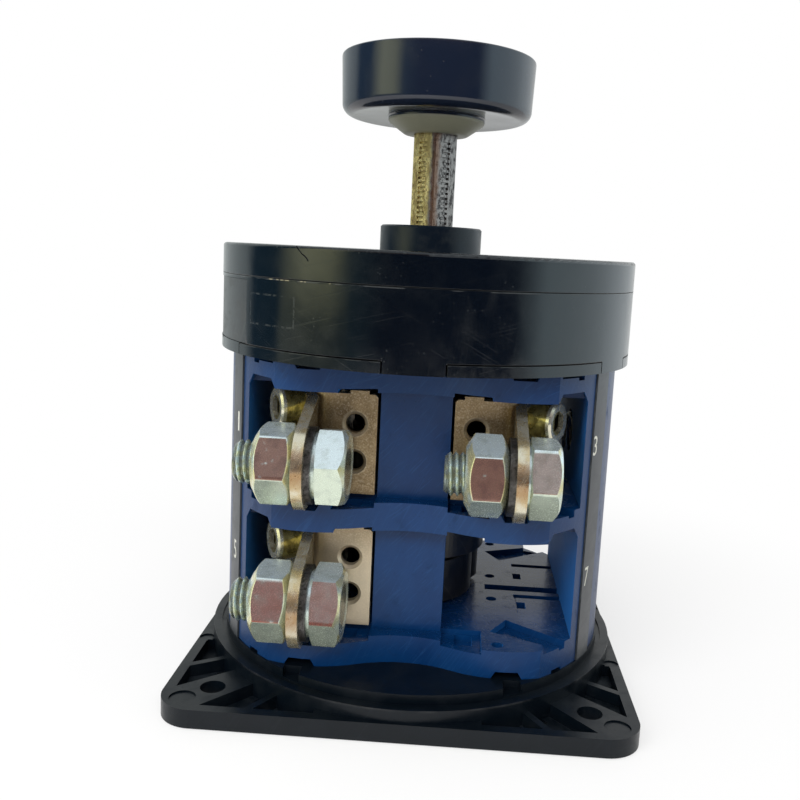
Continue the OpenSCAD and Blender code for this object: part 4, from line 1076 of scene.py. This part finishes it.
roomSet = {
    "white": (1.0, 1.0, 1.0),
    "fill": 0.62,                   # brightness of the soft light from all round
    # what shiny surfaces see round the object, by the angle from the front, positive to the right
    "round": ((-180, (0.72, 0.74, 0.72)), (-112, (0.62, 0.72, 0.74)), (-104, (0.05, 0.11, 0.17)),
              (-84, (0.06, 0.13, 0.19)), (-66, (1.75, 1.80, 1.15)), (-50, (1.50, 1.54, 0.94)),
              (-38, (0.10, 0.17, 0.20)), (-20, (0.03, 0.03, 0.06)), (50, (0.03, 0.04, 0.09)),
              (67, (1.0, 1.25, 1.35)), (120, (1.15, 1.30, 1.38)), (160, (0.80, 0.82, 0.82))),
    # the olive light at the left ends at the height of the camera
    "dim": (0.07, 0.12, 0.14),
    "dimShare": 0.9,
    "dimAt": (-58, 20, 5),          # middle, half width and soft edge, in degrees
    "dimFrom": (-1.0, -5.5),        # degrees above the level, fading in from the first to the second
    "rosy": (0.26, 0.17, 0.15),     # the wall over the camera
    "rosyAt": (4, 52, 14),
    "rosyFrom": (19, 29),
    "above": (0.66, 0.71, 0.75),
    "aboveFrom": (40, 54),
}


def room():
    s = roomSet
    world = bpy.data.worlds.new("room")
    bpy.context.scene.world = world
    world.use_nodes = True
    world.node_tree.nodes.clear()
    sky = Nodes(world.node_tree)
    x, y, z = sky.split(sky.node("ShaderNodeTexCoord", {}, {}, "Generated"))
    turn = sky.turn(x, y)
    rise = sky.math("ARCSINE", z) * (180 / math.pi)
    seen = sky.ramp(turn, -180, 180, s["round"])
    seen = sky.mix(seen, s["dim"], turn.near(*s["dimAt"]) * rise.step(*s["dimFrom"]) * s["dimShare"])
    seen = sky.mix(seen, s["rosy"], rise.step(*s["rosyFrom"]) * turn.near(*s["rosyAt"]))
    seen = sky.mix(seen, s["above"], rise.step(*s["aboveFrom"]))
    direct, glossy, through = (sky.node("ShaderNodeLightPath", {}, {}, "Is %s Ray" % kind)
                               for kind in ("Camera", "Glossy", "Transmission"))
    back = sky.mix(s["white"], seen, glossy)
    plain = sky.node("ShaderNodeBackground", {}, {"Color": (*s["white"], 1), "Strength": s["fill"]})
    full = sky.node("ShaderNodeBackground", {}, {"Color": back, "Strength": 1.0})
    both = sky.node("ShaderNodeMixShader", {}, {0: direct.most(glossy).most(through), 1: plain, 2: full})
    sky.node("ShaderNodeOutputWorld", {}, {"Surface": both})


# place, target, size, power, colour
lampSet = {
    "key": ((-0.15, -1.05, 1.00), (0, 0, 0.07), (1.9, 0.5), 18.0, (1.0, 0.99, 0.97)),
    "front": ((-0.85, -0.95, 0.42), (0, 0, 0.06), (0.7, 0.5), 6.0, (0.97, 0.98, 1.0)),
}


def lamps():
    for name, (place, target, size, power, colour) in lampSet.items():
        lamp = bpy.data.lights.new(name, "AREA")
        lamp.shape = "RECTANGLE"
        lamp.size, lamp.size_y = size
        lamp.energy = power
        lamp.color = colour
        obj = bpy.data.objects.new(name, lamp)
        obj.location = place
        obj.rotation_euler = (Vector(target) - Vector(place)).to_track_quat("-Z", "Y").to_euler()
        # they would show as squares in the drum, and the room gives the reflections
        obj.visible_glossy = False
        bpy.context.collection.objects.link(obj)


cameraSet = {
    "place": (11.62, -278.67, 127.63),
    "right": (0.998, 0.045, 0.050),
    "up": (-0.056, 0.141, 0.988),
    "focal": 880.44,                # focal length, middle and side of the square frame are in pixels
    "middle": (427.06, 378.39),
    "frame": 800,
    "sensor": 36,
    "clip": (0.01, 50),
}


def camera():
    s = cameraSet
    data = bpy.data.cameras.new("camera")
    data.sensor_width = s["sensor"]
    data.lens = s["focal"] / s["frame"] * s["sensor"]
    data.shift_x = (s["frame"] / 2 - s["middle"][0]) / s["frame"]
    data.shift_y = (s["middle"][1] - s["frame"] / 2) / s["frame"]
    data.clip_start, data.clip_end = s["clip"]
    right = Vector(s["right"]).normalized()
    back = right.cross(Vector(s["up"])).normalized()
    up = back.cross(right)
    obj = bpy.data.objects.new("camera", data)
    turn = Matrix((right, up, back)).transposed().to_4x4()
    obj.matrix_world = Matrix.Translation(Vector(s["place"]) * mm) @ turn
    bpy.context.collection.objects.link(obj)
    bpy.context.scene.camera = obj


finishes = {
    "base_black": baseLook(),
    "drum_black": drumLook(),
    "label_black": labelLook(),
    "knob_black": knobLook(),
    "deck_blue": blueLook(),
    "strip_grey": stripLook(),
    "cam_black": camLook(),
    "slider_cream": sliderLook(),
    "copper_tan": plateLook(),
    "tinned_copper": lugLook(),
    "yellow_zinc": clampLook(),
    "shaft_zinc": shaftLook(),
}
for name, values in metalSet["kinds"].items():
    finishes[name] = metalLook(name.replace("_", " "), *values)
for name, obj in nodes.items():
    for slot in obj.material_slots:
        kind = slot.material.name.split(".")[0]
        if kind in finishes:
            slot.material = finishes[kind].mat
        else:
            print("no finish for", name, kind)
nodes["shaft_collar"].material_slots[0].material = collarLook().mat
print("materials made")

bolts()
print("bolts and nuts made")
knob()
print("knob made")
springs()
print("springs made")
digits()
print("digits made")

# soft edges of the moulded and pressed parts, by their width
terminals = range(1, 7)
roundings = {
    0.35: ["deck_1_housing", "deck_2_housing", "bottom_flange", "seat_plate"],
    0.30: ["base_plate", "index_housing", "shaft_collar"],
    0.25: ["clamp_screws", "clamp_washers", "lock_washers",
           *("terminal_lug_%d" % n for n in terminals), *("terminal_plate_%d" % n for n in terminals)],
}
for width, names in roundings.items():
    for name in names:
        soften(nodes[name], width, 42)
print("edges softened")

floor()
room()
lamps()
print("floor, room and lamps placed")
camera()
bpy.context.scene.view_settings.view_transform = "Standard"
